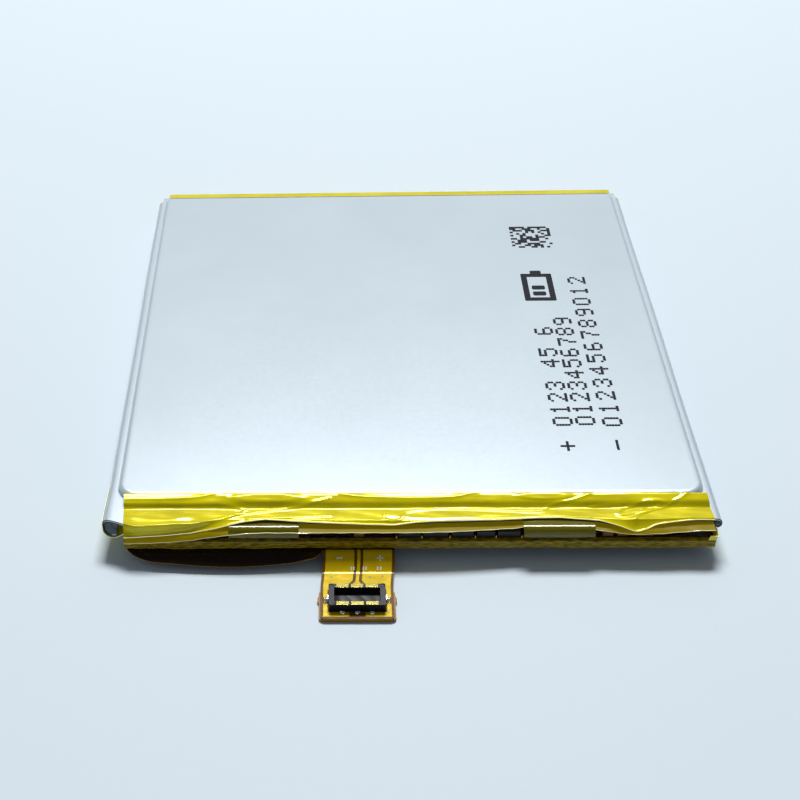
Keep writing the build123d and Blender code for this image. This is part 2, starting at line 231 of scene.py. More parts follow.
def drawn_laminate(name, hex_colour, roughness):
    """Nylon-faced aluminium laminate. The foil gives a soft silver mirror and the nylon over it
    a satin skin, with faint rolling lines along the web and slow waves from the drawing."""
    made, tree = new_material(name)
    place = add_node(tree, "ShaderNodeTexCoord").outputs["Object"]
    along_web = add_node(
        tree, "ShaderNodeMapping",
        {"Scale": (1 / (0.16 * MM), 1 / (5.0 * MM), 1 / (0.16 * MM))}, {"Vector": place},
    )
    rolling = add_node(
        tree, "ShaderNodeTexNoise", {"Scale": 1.0, "Detail": 2.0}, {"Vector": along_web.outputs[0]}
    )
    waves = add_node(
        tree, "ShaderNodeTexNoise", {"Scale": 1 / (9.0 * MM), "Detail": 2.0}, {"Vector": place}
    )
    mist = add_node(
        tree, "ShaderNodeTexNoise", {"Scale": 1 / (0.5 * MM), "Detail": 4.0}, {"Vector": place}
    )
    gloss = add_node(
        tree, "ShaderNodeMapRange",
        {"To Min": roughness - 0.02, "To Max": roughness + 0.02}, {"Value": mist.outputs["Fac"]},
    )
    tone = add_node(
        tree, "ShaderNodeMapRange", {"To Min": 0.93, "To Max": 1.03}, {"Value": waves.outputs["Fac"]}
    )
    shade = add_node(
        tree, "ShaderNodeHueSaturation", {"Color": linear(hex_colour)},
        {"Value": tone.outputs["Result"]},
    )
    lines = add_node(
        tree, "ShaderNodeMath", {1: 0.25}, {0: rolling.outputs["Fac"]}, operation="MULTIPLY"
    )
    height = add_node(
        tree, "ShaderNodeMath", None,
        {0: lines.outputs[0], 1: waves.outputs["Fac"]}, operation="ADD",
    )
    relief = add_node(
        tree, "ShaderNodeBump", {"Strength": 0.25, "Distance": 0.02 * MM},
        {"Height": height.outputs[0]},
    )
    set_surface(tree, add_node(
        tree, "ShaderNodeBsdfPrincipled",
        {"Metallic": 0.28, "Specular IOR Level": 0.4},
        {"Base Color": shade.outputs["Color"], "Roughness": gloss.outputs["Result"],
         "Normal": relief.outputs["Normal"]},
    ))
    return made


def grained(name, hex_colour, grain, tone=0.08, gloss=(0.4, 0.5), relief=0.0, **shader):
    """A finish whose brightness varies by the share tone, whose roughness varies over gloss and
    whose skin rises by relief millimetres, all over grains of that size in millimetres."""
    made, tree = new_material(name)
    size = grain if isinstance(grain, tuple) else (grain, grain, grain)
    place = add_node(
        tree, "ShaderNodeMapping", {"Scale": [1 / (s * MM) for s in size]},
        {"Vector": add_node(tree, "ShaderNodeTexCoord").outputs["Object"]},
    )
    noise = add_node(
        tree, "ShaderNodeTexNoise", {"Scale": 1.0, "Detail": 3.0}, {"Vector": place.outputs[0]}
    )
    value = add_node(
        tree, "ShaderNodeMapRange",
        {"From Min": 0.25, "From Max": 0.75, "To Min": 1 - tone, "To Max": 1 + tone},
        {"Value": noise.outputs["Fac"]},
    )
    colour = add_node(
        tree, "ShaderNodeHueSaturation", {"Color": linear(hex_colour)},
        {"Value": value.outputs["Result"]},
    )
    rough = add_node(
        tree, "ShaderNodeMapRange",
        {"From Min": 0.25, "From Max": 0.75, "To Min": gloss[0], "To Max": gloss[1]},
        {"Value": noise.outputs["Fac"]},
    )
    links = {"Base Color": colour.outputs["Color"], "Roughness": rough.outputs["Result"]}
    if relief:
        bump = add_node(
            tree, "ShaderNodeBump", {"Strength": 1.0, "Distance": relief * MM},
            {"Height": noise.outputs["Fac"]},
        )
        links["Normal"] = bump.outputs["Normal"]
    set_surface(tree, add_node(
        tree, "ShaderNodeBsdfPrincipled",
        {name.replace("_", " "): value for name, value in shader.items()}, links,
    ))
    return made


def soft_line(x, stations, values, softness):
    """A line through the stations: straight runs between them, averaged over a bell-shaped
    window of that softness."""
    window = np.linspace(-2.0, 2.0, 17)
    weights = np.exp(-window**2)
    spread = np.asarray(x, float)[..., None] + window * softness
    return (np.interp(spread, stations, values) * weights).sum(-1) / weights.sum()


def smooth_step(t):
    """0 before 0, 1 after 1, and 3t² - 2t³ between them."""
    t = np.clip(t, 0.0, 1.0)
    return t * t * (3 - 2 * t)


def rounded_outline(half_x, half_y, corner, per_side=48, per_corner=9):
    """Points anticlockwise round a rectangle whose corners are quarter circles. The second half
    is the first turned half a turn, so every size has the same points in the same order."""
    flat_x, flat_y = half_x - corner, half_y - corner
    run = np.linspace(-1, 1, per_side)
    turn = np.linspace(0, np.pi / 2, per_corner + 2)[1:-1]
    right = np.column_stack([np.full(per_side, half_x), flat_y * run])
    first = np.column_stack([flat_x + corner * np.cos(turn), flat_y + corner * np.sin(turn)])
    back = np.column_stack([-flat_x * run, np.full(per_side, half_y)])
    second = np.column_stack([-flat_x - corner * np.sin(turn), flat_y + corner * np.cos(turn)])
    half = np.vstack([right, first, back, second])
    return np.vstack([half, -half])


def top_height(x, y):
    """Height of the top face: level, less shallow dips between long sine waves that the winding
    leaves in it, which fade out towards the edges."""
    fade = (1 - np.minimum(np.abs(x) / side_wall, 1) ** 6) * (
        1 - np.minimum(np.abs(y) / body_half_length, 1) ** 6
    )
    waves = np.sin(x / 5.3 + 0.6) * np.cos(y / 7.1) + np.sin(y / 5.9 + x / 13.0)
    return cell_top - 0.006 * fade * (2 - waves)


def tray(profile, upwards):
    """Points and faces of a drawn tray: the pouch's outline taken in by each inset of a profile
    of (inset, height), with the last ring closed."""
    rings = []
    for inset, height in profile:
        ring = rounded_outline(
            side_wall - inset, body_half_length - inset, max(tray_corner - inset, 0.2)
        )
        level = top_height(*ring.T) if height is None else np.full(len(ring), height)
        rings.append(np.column_stack([ring, level]))
    count = len(rings[0])
    faces = [*grid_quads(len(rings), count, around=True)]
    faces.append((len(rings) - 1) * count + np.arange(count))
    return np.vstack(rings), faces if upwards else [face[::-1] for face in faces]


def edge_arc(radius, level, side, steps=9):
    """(inset, height) round a tray's edge: a quarter circle up to or down to its level."""
    turn = np.linspace(0, np.pi / 2, steps)
    heights = level - side * radius * (1 - np.sin(turn))
    return [*zip(radius * (1 - np.cos(turn)), heights)]


def rolled_edge(offset, hem_radius, bottom, turn, end_length):
    """(x, z) across a side's rolled margin, beside its middle by an offset: a quarter turn down
    from the flat margin, an arc back inwards through the given turn, and a short straight end.
    The hot bar squeezes the margin, so the offset shrinks to 0.6 of itself in the bend."""
    down = np.linspace(0, np.pi / 2, 9)
    under = np.linspace(0, turn, 15)
    bend = fold_round + offset * (1 - 0.4 * down / down[-1])
    hem = hem_radius + 0.6 * offset
    x = np.concatenate([
        outer_leg - fold_round + bend * np.sin(down), outer_leg - hem_radius + hem * np.cos(under)
    ])
    z = np.concatenate([
        seam_height - fold_round + bend * np.cos(down), bottom + hem_radius - hem * np.sin(under)
    ])
    return np.r_[x, x[-1] - end_length * np.sin(turn)], np.r_[z, z[-1] - end_length * np.cos(turn)]


# The rolls, as (hem radius, bottom, turn, length of the straight end).
tight_roll = (hem_round, hem_bottom, np.pi, 0.23)
loose_roll = (0.82, 1.75, 0.60 * np.pi, 0.12)
loose_bulge = 0.16
loose_from, loose_to = -26.0, -31.6


def rolled_side(offset, y, side):
    """(x, z) of a side's roll at each y. The left roll springs open towards the header: there it
    is mixed with a wider, lower turn that stops under the cell's side."""
    tight = np.array(rolled_edge(offset, *tight_roll))
    loose = np.array(rolled_edge(offset, *loose_roll)) + [[loose_bulge], [0.0]]
    share = smooth_step((loose_from - y) / (loose_from - loose_to))[None] * (side < 0)
    x, z = tight[:, None, :] * (1 - share) + loose[:, None, :] * share
    return side * (x + 0.03 * np.sin(y / 5.2 + side)), z


# The trimmed front edge of the header: its y at each x.
header_stations = [
    -29.2, -27.6, -26.6, -20.5, -18, -16, -14, -8, 0, 8, 14, 18, 20, 21.2, 23, 27, 29.5,
]
header_edge = [
    -31.95, -32.6, -33.2, -32.8, -32.25, -32.1, -32.0, -32.3, -32.4, -32.1, -31.8, -32.1, -32.4,
    -32.3, -32.3, -32.1, -32.2,
]
hole_half = (27.6, 28.6)       # the sheet ends this far under the tray, inside its wall
margin_end = 28.6              # the margin is flat as far as here from the middle


def seam_sheet(offset, upwards):
    """Points and faces of one face of the seam, beside its middle by an offset: columns run
    across from one rolled side to the other, and rows from the wavy header edge along the cell,
    over the back and down its leg. Layers nearer the middle stop a little behind the outer
    ones at the header. Faces under the tray and off the folds are left out."""
    flat = np.concatenate([
        np.linspace(-margin_end, -hole_half[0], 8)[:-1],
        np.linspace(-hole_half[0], hole_half[0], 101),
        np.linspace(hole_half[0], margin_end, 8)[1:],
    ])
    tight_x = rolled_edge(offset, *tight_roll)[0]
    across = np.concatenate([-tight_x[::-1], flat, tight_x])
    roll = len(tight_x)
    leg_rows = 6
    turn = np.linspace(0, np.pi / 2, 7)
    back_y = back_leg - back_round + (back_round + offset) * np.sin(turn)
    back_z = -back_round + (back_round + offset) * np.cos(turn) - offset
    along = np.concatenate([
        np.linspace(-hole_half[1], hole_half[1], 49),
        np.linspace(hole_half[1], back_leg - back_round, 5)[1:-1],
        back_y, np.full(leg_rows, back_y[-1]),
    ])
    leg = np.linspace(0, 1, leg_rows + 1)[1:] * (back_leg_bottom + back_round - seam_height)
    level = np.zeros(len(along) - len(back_z) - leg_rows)
    drop = np.concatenate([level, back_z, back_z[-1] + leg])
    front = soft_line(across, header_stations, header_edge, 0.8)
    front = front + 0.3 * (half_stack - abs(offset))
    share = np.linspace(0, 1, 15)[:-1, None]
    beside_tray = np.repeat(along[:, None], len(across), 1)
    y = np.vstack([front + share * (-hole_half[1] - front), beside_tray])
    x = np.repeat(across[None, :], len(y), 0)
    z = np.full(x.shape, seam_height + offset)
    left_x, left_z = rolled_side(offset, y[:, :1], -1)
    right_x, right_z = rolled_side(offset, y[:, -1:], 1)
    x[:, :roll], z[:, :roll] = left_x[:, ::-1], left_z[:, ::-1]
    x[:, -roll:], z[:, -roll:] = right_x, right_z
    z[len(share):] += drop[:, None]

    faces = grid_quads(*x.shape)
    middle_x = x.ravel()[faces].mean(1)
    middle_y = y.ravel()[faces].mean(1)
    column = faces[:, 0] % x.shape[1]
    in_flat = (column >= roll - 1) & (column < len(across) - roll)
    keep = (np.abs(middle_x) > hole_half[0]) | (np.abs(middle_y) > hole_half[1])
    keep &= in_flat | (middle_y < side_fold_back)
    keep &= (middle_y < back_leg - back_round) | (np.abs(middle_x) < back_fold_half_width)
    faces = faces[keep]
    return np.stack([x, y, z], -1).reshape(-1, 3), [*(faces if upwards else faces[:, ::-1])]


def joined(*parts):
    """Points and faces of several surfaces as one mesh."""
    counts = np.cumsum([0] + [len(points) for points, _ in parts])
    faces = [face + start for start, (_, own) in zip(counts, parts) for face in own]
    return np.vstack([points for points, _ in parts]), faces


def thicken(piece, thickness, rim=None):
    """Gives a surface its thickness, behind its face, and its cut edges a finish of their own."""
    wall = piece.modifiers.new("thickness", "SOLIDIFY")
    wall.thickness = thickness * MM
    wall.offset = -1.0
    if rim:
        piece.data.materials.append(rim)
        wall.material_offset_rim = len(piece.data.materials) - 1


# The foil under clear nylon gives a soft silver that is lit evenly, with little true mirror.
laminate_top = drawn_laminate("nylon-faced aluminium laminate", "#D0DEE7", 0.23)
# The slit edge of the laminate is painted a dark slate line: painted shade along the cut edge, in place
# of its pale foil and plastic.
laminate_cut_shade = grained(
    "slit laminate edge with painted shade", "#11161D", 0.3, tone=0.1, gloss=(0.3, 0.45), Specular_IOR_Level=0.2
)

top_inset = [0.8, 1.4, 2.4, 4, 6, 8, 10, 12, 14, 16, 18, 20, 22, 24, 26, 28]
upper_profile = [(-0.10, seam_top - 0.03), (-0.03, seam_top + 0.01), (0, seam_top + 0.07)]
upper_profile += edge_arc(0.5, cell_top, 1) + [(inset, None) for inset in top_inset]
pouch_upper = new_piece(
    "pouch_upper_film",
    *joined(tray(upper_profile, True), seam_sheet(half_stack, True)),
    laminate_top,
)
thicken(pouch_upper, laminate, laminate_cut_shade)
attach(pouch_upper, "pack")
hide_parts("pouch_upper")

lower_profile = [(-0.10, seam_height - half_stack + 0.03), (0, seam_height - half_stack - 0.1)]
lower_profile += edge_arc(0.8, 0.0, -1) + [(inset, 0.0) for inset in (2, 5, 10, 16, 22, 28)]
pouch_lower = new_piece(
    "pouch_lower_film",
    *joined(tray(lower_profile, False), seam_sheet(-half_stack, False)),
    laminate_top,
)
thicken(pouch_lower, laminate, laminate_cut_shade)
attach(pouch_lower, "pack")
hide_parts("pouch_lower")


# ---------------------------------------------------------------------------------------------
# Seal band. The polypropylene faces of the two laminates, melted into one milky layer by hot
# bars all the way round. Only its cut edge shows, as a pale line between the two foils.
# ---------------------------------------------------------------------------------------------
# Melted polypropylene is milky and lets a little light in.
seal_plastic = grained(
    "fused polypropylene", "#D8DCDD", 0.4, tone=0.05, gloss=(0.35, 0.5),
    Subsurface_Weight=0.2, Subsurface_Radius=(0.0003, 0.0003, 0.0003),
)
seal_band = new_piece(
    "seal_band_film", *seam_sheet(seal_thickness / 2 - 0.004, True), seal_plastic
)
thicken(seal_band, seal_thickness - 0.008)
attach(seal_band, "pack")
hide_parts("seal_band")


# ---------------------------------------------------------------------------------------------
# Winding. A cathode of coated aluminium foil and an anode of coated copper foil, wound flat with
# two porous separators and held by a strip of tape. It is closed inside the laminate.
# ---------------------------------------------------------------------------------------------
def finish_node(node, material):
    """Gives a carried-over node its finish in every slot."""
    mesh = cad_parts[node].data
    mesh.materials.clear()
    mesh.materials.append(material)


# Cobalt oxide in a binder dries to a fine dull charcoal skin.
finish_node("cathode_foil", grained(
    "calendered oxide coating", "#2B2D30", 0.06, tone=0.15, gloss=(0.55, 0.7), relief=0.004
))
# Rolled graphite is darker and a little shiny.
finish_node("anode_foil", grained(
    "calendered graphite coating", "#1B1B1D", (0.06, 0.8, 0.06), tone=0.12, gloss=(0.35, 0.5),
    relief=0.003, Metallic=0.2,
))
# Stretched polyethylene film is white and faintly silky.
separator = grained(
    "stretched microporous film", "#F1F2F0", (0.1, 1.5, 0.1), tone=0.04, gloss=(0.45, 0.6),
    Subsurface_Weight=0.15, Subsurface_Radius=(0.0003, 0.0003, 0.0003),
)
finish_node("separator_inner", separator)
finish_node("separator_outer", separator)


# ---------------------------------------------------------------------------------------------
# Electrode tabs. Flat metal strips from the winding, bare aluminium and nickel, that leave
# through the seam in sleeves of amber sealant and bend back onto the plates of the board.
# ---------------------------------------------------------------------------------------------
# Slit aluminium strip keeps fine lines along its length and a bright grey face.
finish_node("positive_tab", grained(
    "slit aluminium strip", "#C9CBCC", (0.08, 1.2, 1.2), tone=0.08, gloss=(0.25, 0.4),
    relief=0.002, Metallic=1.0,
))
# Nickel is warmer and darker, with the same lines.
finish_node("negative_tab", grained(
    "slit nickel strip", "#B9B2A4", (0.08, 1.2, 1.2), tone=0.08, gloss=(0.25, 0.4),
    relief=0.002, Metallic=1.0,
))
# Hot tin dip leaves a softly mottled grey plate.
tin_plate = grained(
    "tinned nickel plate", "#C4C3BC", 0.5, tone=0.1, gloss=(0.3, 0.5), relief=0.004, Metallic=1.0
)
finish_node("negative_weld_plate", tin_plate)
finish_node("positive_weld_plate", tin_plate)


def clear_film(
    name, hex_colour, see_through, body_share, gloss=(0.06, 0.12), crinkle=0.012, painted_glow=0.0,
    **shader,
):
    """A tinted film: light that passes is stained by see_through, and body_share of the face
    scatters and reflects as a glossy plastic with a slight crinkle in it. A share painted_glow
    of its stain is given out as painted light, a glow of its own that no lamp gives."""
    made, tree = new_material(name)
    place = add_node(tree, "ShaderNodeTexCoord").outputs["Object"]
    ripple = add_node(
        tree, "ShaderNodeTexNoise", {"Scale": 1 / (0.9 * MM), "Detail": 2.0}, {"Vector": place}
    )
    rough = add_node(
        tree, "ShaderNodeMapRange", {"To Min": gloss[0], "To Max": gloss[1]},
        {"Value": ripple.outputs["Fac"]},
    )
    bump = add_node(
        tree, "ShaderNodeBump", {"Strength": 1.0, "Distance": crinkle * MM},
        {"Height": ripple.outputs["Fac"]},
    )
    plastic = add_node(
        tree, "ShaderNodeBsdfPrincipled",
        {"Base Color": linear(hex_colour), "IOR": 1.6, "Emission Color": linear(see_through),
         "Emission Strength": painted_glow,
         **{name.replace("_", " "): value for name, value in shader.items()}},
        {"Roughness": rough.outputs["Result"], "Normal": bump.outputs["Normal"]},
    )
    clear = add_node(tree, "ShaderNodeBsdfTransparent", {"Color": linear(see_through)})
    set_surface(tree, add_node(
        tree, "ShaderNodeMixShader", {0: body_share},
        {1: clear.outputs[0], 2: plastic.outputs[0]},
    ))
    return made


# Modified polypropylene sleeve: an amber stain over the strip that it grips.
sleeve = clear_film("amber tab sealant", "#7A7302", "#B8AC10", 0.70)
finish_node("negative_tab_sealant", sleeve)
finish_node("positive_tab_sealant", sleeve)


# ---------------------------------------------------------------------------------------------
# Protection board. A strip of glass-epoxy laminate under dark solder mask, hung below the header
# by the tabs, with a row of moulded chips, small ceramic parts and a foam strip behind it.
# ---------------------------------------------------------------------------------------------
def softened_copy(node, edge, material, body, steps=2):
    """A copy of a node with its triangles merged into whole faces and its edges broken by a
    small round, as moulding, plating or punching leaves them. It stands for the node."""
    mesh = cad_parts[node].data.copy()
    work = bmesh.new()
    work.from_mesh(mesh)
    bmesh.ops.remove_doubles(work, verts=work.verts, dist=0.001 * MM)
    bmesh.ops.dissolve_limit(
        work, angle_limit=math.radians(1.0), verts=work.verts, edges=work.edges
    )
    work.to_mesh(mesh)
    work.free()
    mesh.shade_smooth()
    mesh.set_sharp_from_angle(angle=math.radians(40))
    mesh.materials.clear()
    mesh.materials.append(material)
    made = bpy.data.objects.new(f"{node}_finished", mesh)
    bpy.context.scene.collection.objects.link(made)
    rounding = made.modifiers.new("edge round", "BEVEL")
    rounding.width = edge * MM
    rounding.segments = steps
    rounding.limit_method = "ANGLE"
    rounding.angle_limit = math.radians(40)
    rounding.harden_normals = True
    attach(made, body)
    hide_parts(node)
    return made


# Dark brown mask over copper and glass weave: a glossy, slightly wavy skin.
solder_mask = grained(
    "brown solder mask", "#3A1E0C", 0.35, tone=0.15, gloss=(0.15, 0.3), relief=0.006,
    Coat_Weight=0.5, Coat_Roughness=0.12,
)
softened_copy("circuit_board", 0.04, solder_mask, "pack")

# Filled epoxy moulding compound is near-black with a fine matt grain.
chip_resin = grained(
    "epoxy moulding compound", "#15161A", 0.08, tone=0.2, gloss=(0.4, 0.6), relief=0.004
)
for chip in ("gauge_chip", "protection_chip", "power_switch_1", "power_switch_2", "backup_chip"):
    softened_copy(chip, 0.05, chip_resin, "pack")

# Glazed film resistor: black glass over white ceramic.
resistor_glaze = grained("glazed resistor", "#1C1B1B", 0.1, tone=0.2, gloss=(0.15, 0.3))
softened_copy("chip_resistors", 0.03, resistor_glaze, "pack")
# Fired barium titanate is a dull tan ceramic.
capacitor_ceramic = grained(
    "fired tan ceramic", "#8A6A45", 0.08, tone=0.12, gloss=(0.4, 0.55), relief=0.003
)
softened_copy("chip_capacitors", 0.04, capacitor_ceramic, "pack")
softened_copy("thermistor", 0.04, capacitor_ceramic, "pack")
softened_copy("fuse", 0.04, resistor_glaze, "pack")


# Open-cell foam: dull grey-black with pores about 0.12 mm wide.
foam = grained("open-cell foam", "#232426", 0.12, tone=0.35, gloss=(0.85, 0.95), relief=0.03)


def foam_strip(low, high):
    """Points and faces of a foam strip between two corners: round its length, a superellipse of
    power 3, which shrinks to a quarter at its ends along an eighth-power curve and waves
    slightly where it is pressed."""
    turn = np.linspace(0, 2 * np.pi, 33)[:-1]
    along = np.linspace(-1, 1, 61)
    middle, half = (low + high) / 2, (high - low) / 2
    close = (1 - np.abs(along) ** 8 * 0.75)[:, None]
    cosine, sine = np.cos(turn), np.sin(turn)
    x = middle[0] + half[0] * along[:, None] + 0 * turn
    ripple = 1 - 0.04 * (1 + np.sin(x * 0.9))
    y = middle[1] + half[1] * close * np.sign(cosine) * np.abs(cosine) ** (2 / 3) * ripple
    z = middle[2] + half[2] * close * np.sign(sine) * np.abs(sine) ** (2 / 3) * ripple
    return np.stack([x, y, z], -1).reshape(-1, 3), closed_rings(len(along), len(turn))


cushion = new_piece("board_cushion_foam", *foam_strip(*node_box("board_cushion")), foam)
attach(cushion, "pack")
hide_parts("board_cushion")

# Immersion gold on the bare pads and joints is a bright, slightly uneven yellow metal.
pad_gold = grained(
    "immersion gold", "#D9A93A", 0.1, tone=0.1, gloss=(0.2, 0.35), relief=0.002, Metallic=1.0
)
board_top = node_box("circuit_board")[1][2]
chip_front = node_box("gauge_chip")[0][1]


def copies(points, faces):
    """Points and faces of copies of one shape, from its points in every copy and its faces."""
    count = points.shape[1]
    return points.reshape(-1, 3), [face + k * count for k in range(len(points)) for face in faces]


def solder_peaks(places, foot, height):
    """Points and faces of one pointed mound at each place: rings of an ellipse, 0.7 as deep as
    it is wide, whose radius falls from foot as 1 - t to the power 1.3 while it climbs."""
    turn = np.linspace(0, 2 * np.pi, 13)[:-1]
    climb = np.linspace(0, 0.97, 7)[:, None]
    radius = foot * (1 - climb) ** 1.3
    x, y = radius * np.cos(turn), 0.7 * radius * np.sin(turn)
    shape = np.stack([x, y, height * climb + 0 * x], -1).reshape(-1, 3)
    return copies(np.asarray(places)[:, None] + shape, closed_rings(len(climb), len(turn)))


# Between the chips their joints have drawn up into small shining points.
gaps = (-1.35, 1.08, 3.75, 6.15, 8.12, 10.55)
joints = new_piece(
    "chip_joints",
    *solder_peaks([(x, chip_front - 0.02, board_top) for x in gaps], 0.16, 0.42),
    pad_gold,
)
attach(joints, "pack")


def rounded_pads(centres, half_x, half_y, level, corner):
    """Points and faces of one flat rounded pad at each centre, at a level."""
    outline = rounded_outline(half_x, half_y, corner, per_side=2, per_corner=3)
    shape = np.column_stack([outline, np.full(len(outline), level)])
    places = np.column_stack([centres, np.zeros(len(centres))])
    return copies(places[:, None] + shape, [np.arange(len(outline))])


pad_places = [(x, -33.3) for x in (-9.3, -8.7, -8.0, -7.2, -5.2, -4.5, 11.8, 13.2, 24.5)]
pads = new_piece(
    "board_test_pads", *rounded_pads(pad_places, 0.2, 0.11, board_top + 0.03, 0.05), pad_gold
)
thicken(pads, 0.035)
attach(pads, "pack")


# ---------------------------------------------------------------------------------------------
# Flexible circuit. Copper foil between two films of brown polyimide. A wide sheet with a rounded
# wing is bonded under the board, and a tail leaves it, dips to the table and runs out flat.
# ---------------------------------------------------------------------------------------------
flex_thickness = 0.14
tail_middle, tail_width = -5.2, 6.8
tail_split = -35.4             # the tail is two lengths that meet here, between its two bends
flex_top = node_box("flex_root")[1][2]
tail_end_top = node_box("flex_end")[1][2]
neck_hinge = (-34.2, flex_top - flex_thickness / 2)
end_hinge = (-36.6, tail_end_top - flex_thickness / 2)
landing = end_hinge[0] + 0.72  # the dip reaches the table a little before the hinge there
tail_front = node_box("flex_end")[0][1]

# The wide sheet's coverlay is glossy film with a faint orange-peel skin, painted near black: painted
# shade for the header's shadow over this amber film.
coverlay = grained(
    "polyimide coverlay darkened by painted shade", "#1E0F02", 0.7, tone=0.15, gloss=(0.16, 0.24), relief=0.002,
    Specular_IOR_Level=0.2,
)
# Over the tail's plate and between its pours the same film keeps a clearer amber brown, without that
# painted shade.
tail_coverlay = grained(
    "amber polyimide coverlay", "#6A4804", 0.7, tone=0.15, gloss=(0.16, 0.24), relief=0.002,
    Specular_IOR_Level=0.12,
)
# Where it is trimmed, the film without copper lets light through and looks olive.
coverlay_edge = grained(
    "trimmed polyimide edge", "#8A6410", 0.3, tone=0.15, gloss=(0.25, 0.4), Coat_Weight=0.4
)


neck_start = neck_hinge[0] + 0.35
root_back = -30.2
wing_corner = (-23.3, -33.1)   # middle of the quarter ellipse at the wing's corner
wing_corner_size = (4.0, 1.95)
wing_end = -10.0               # here the wing gives way to the fillet beside the tail
wing_belly, wing_rise = 0.42, 0.15
fillet_size = (1.6, 0.95)
droop_line, droop_reach = -33.0, 2.45
wing_droop = 0.69
droop_start, droop_full = -8.2, -11.4


def root_sheet(rows=40):
    """Points and faces of the wide sheet. Its front edge is a quarter ellipse at the wing's
    corner, a belly of half a sine wave on a slight rise, a fillet and the square start of the
    tail. The wing droops in front of the board as a power of the distance."""
    corner = np.linspace(0, np.pi / 2, 18)
    run = np.linspace(0, 1, 44)[1:]
    fillet = np.linspace(0, 1, 14)[1:]
    square = np.array([tail_middle + tail_width / 2 * side for side in (-1, 1)]) + 0.26
    x = np.concatenate([
        wing_corner[0] - wing_corner_size[0] * np.cos(corner),
        wing_corner[0] + (wing_end - wing_corner[0]) * run,
        wing_end + fillet_size[0] * fillet,
        np.linspace(*square, 12)[1:],
    ])
    wing_front = wing_corner[1] - wing_corner_size[1]
    front = np.concatenate([
        wing_corner[1] - wing_corner_size[1] * np.sin(corner),
        wing_front - wing_belly * np.sin(np.pi * run) + wing_rise * run**2,
        wing_front + wing_rise + fillet_size[1] * fillet**3,
        np.full(11, neck_start),
    ])
    share = np.linspace(0, 1, rows)[:, None]
    y = root_back + share * (front - root_back)
    droop = wing_droop * smooth_step((droop_start - x) / (droop_start - droop_full))
    z = flex_top - droop * np.clip((droop_line - y) / droop_reach, 0, 1) ** 1.6
    x = np.repeat(x[None], rows, 0)
    return np.stack([x, y, z], -1).reshape(-1, 3), [*grid_quads(rows, x.shape[1])[:, ::-1]]


# The wide sheet takes the coverlay that is painted dark with the header's shade.
root = new_piece("flex_root_sheet", *root_sheet(), coverlay)
thicken(root, flex_thickness, coverlay_edge)
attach(root, "pack")
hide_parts("flex_root")


def tail_line(y):
    """Middle height of the tail at y: level under the board, a straight dip between the two
    bends and level again on the table, with both bends softened."""
    return soft_line(y, [landing, neck_hinge[0]], [end_hinge[1], neck_hinge[1]], 0.20)


def tail_drift(y):
    """How far the tail wanders sideways, as it was bonded a little askew."""
    return 0.26 * smooth_step((y + 38.3) / 4.0)


def tail_sheet(left, right, back, front, lift, step=0.12, columns=9, corner=0.0):
    """Points and faces of a strip that lies on the tail: columns between its left and right
    edges, which are numbers or functions of y, and rows from back to front, at a lift over the
    tail's middle, square to its slope. A corner rounds the front end by a quarter circle, and
    the rows crowd towards it."""
    rows = max(int(abs(back - front) / step), 1) + 1
    y = np.linspace(back, front, rows)
    if corner:
        y = front + (y - front) ** 2 / (back - front) * 0.3 + (y - front) * 0.7
    low = left(y) if callable(left) else np.full(rows, left)
    high = right(y) if callable(right) else np.full(rows, right)
    if corner:
        trim = corner - np.sqrt(np.maximum(corner**2 - np.maximum(corner - (y - front), 0) ** 2, 0))
        low, high = low + trim, high - trim
    share = np.linspace(0, 1, columns)
    x = low[:, None] + (high - low)[:, None] * share + tail_drift(y)[:, None]
    small = 0.01
    slope = (tail_line(y + small) - tail_line(y - small)) / (2 * small)
    length = np.sqrt(1 + slope**2)
    y_lifted = y - lift * slope / length
    z = tail_line(y) + lift / length
    points = np.stack(
        [x, np.repeat(y_lifted[:, None], columns, 1), np.repeat(z[:, None], columns, 1)], -1
    )
    return points.reshape(-1, 3), [*grid_quads(rows, columns)[:, ::-1]]


def blend_tail(piece):
    """Bakes the placing of a length of the tail into its points. The length before the split
    lies over the neck's bend and the length after it over the bend at the table."""
    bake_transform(piece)


left, right = tail_middle - tail_width / 2, tail_middle + tail_width / 2
tail_neck = new_piece(
    "tail_neck_film",
    *tail_sheet(left, right, neck_start, tail_split, flex_thickness / 2, columns=25),
    tail_coverlay,
)
thicken(tail_neck, flex_thickness, coverlay_edge)
blend_tail(tail_neck)
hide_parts("flex_neck")

tail_end = new_piece(
    "tail_end_film",
    *tail_sheet(
        left, right, tail_split, tail_front, flex_thickness / 2, columns=25, corner=0.35
    ),
    tail_coverlay,
)
thicken(tail_end, flex_thickness, coverlay_edge)
blend_tail(tail_end)
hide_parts("flex_end")


# ---------------------------------------------------------------------------------------------
# Copper of the tail. Two wide pours, plus and minus, and a thin sense trace between them that
# ends in a pad under the connector. The film over it makes it a bright golden yellow.
# ---------------------------------------------------------------------------------------------
# Rolled copper under amber film: the film stains it a full golden yellow and dulls its mirror.
copper = grained(
    "copper under amber film", "#DCBC00", (1.2, 0.5, 1.2), tone=0.08, gloss=(0.14, 0.2),
    relief=0.002, Metallic=0.10, Specular_IOR_Level=0.2, Coat_Weight=0.15, Coat_Roughness=0.05,
)
copper_lift = flex_thickness / 2 + 0.022
rim = 0.25
pour_edge = 0.43               # inner edge of each pour, from the tail's middle
pad_edge = 0.75                # the same beside the sense pad
pad_half = 0.45
trace_half = 0.15
widen = (-37.05, -37.5)        # where the gap between the pours opens for the sense pad
housing_low, housing_high = node_box("connector_housing")
pour_out = tail_width / 2 - rim
clip_gap = (-39.3, -40.1)      # bare stretch at each side for the hold-down clips
foot_back = -41.2


def inner_edge(y):
    """Distance of a pour's inner edge from the tail's middle: straight, with one slanted step."""
    step = np.clip((widen[0] - y) / (widen[0] - widen[1]), 0, 1)
    return pour_edge + (pad_edge - pour_edge) * step


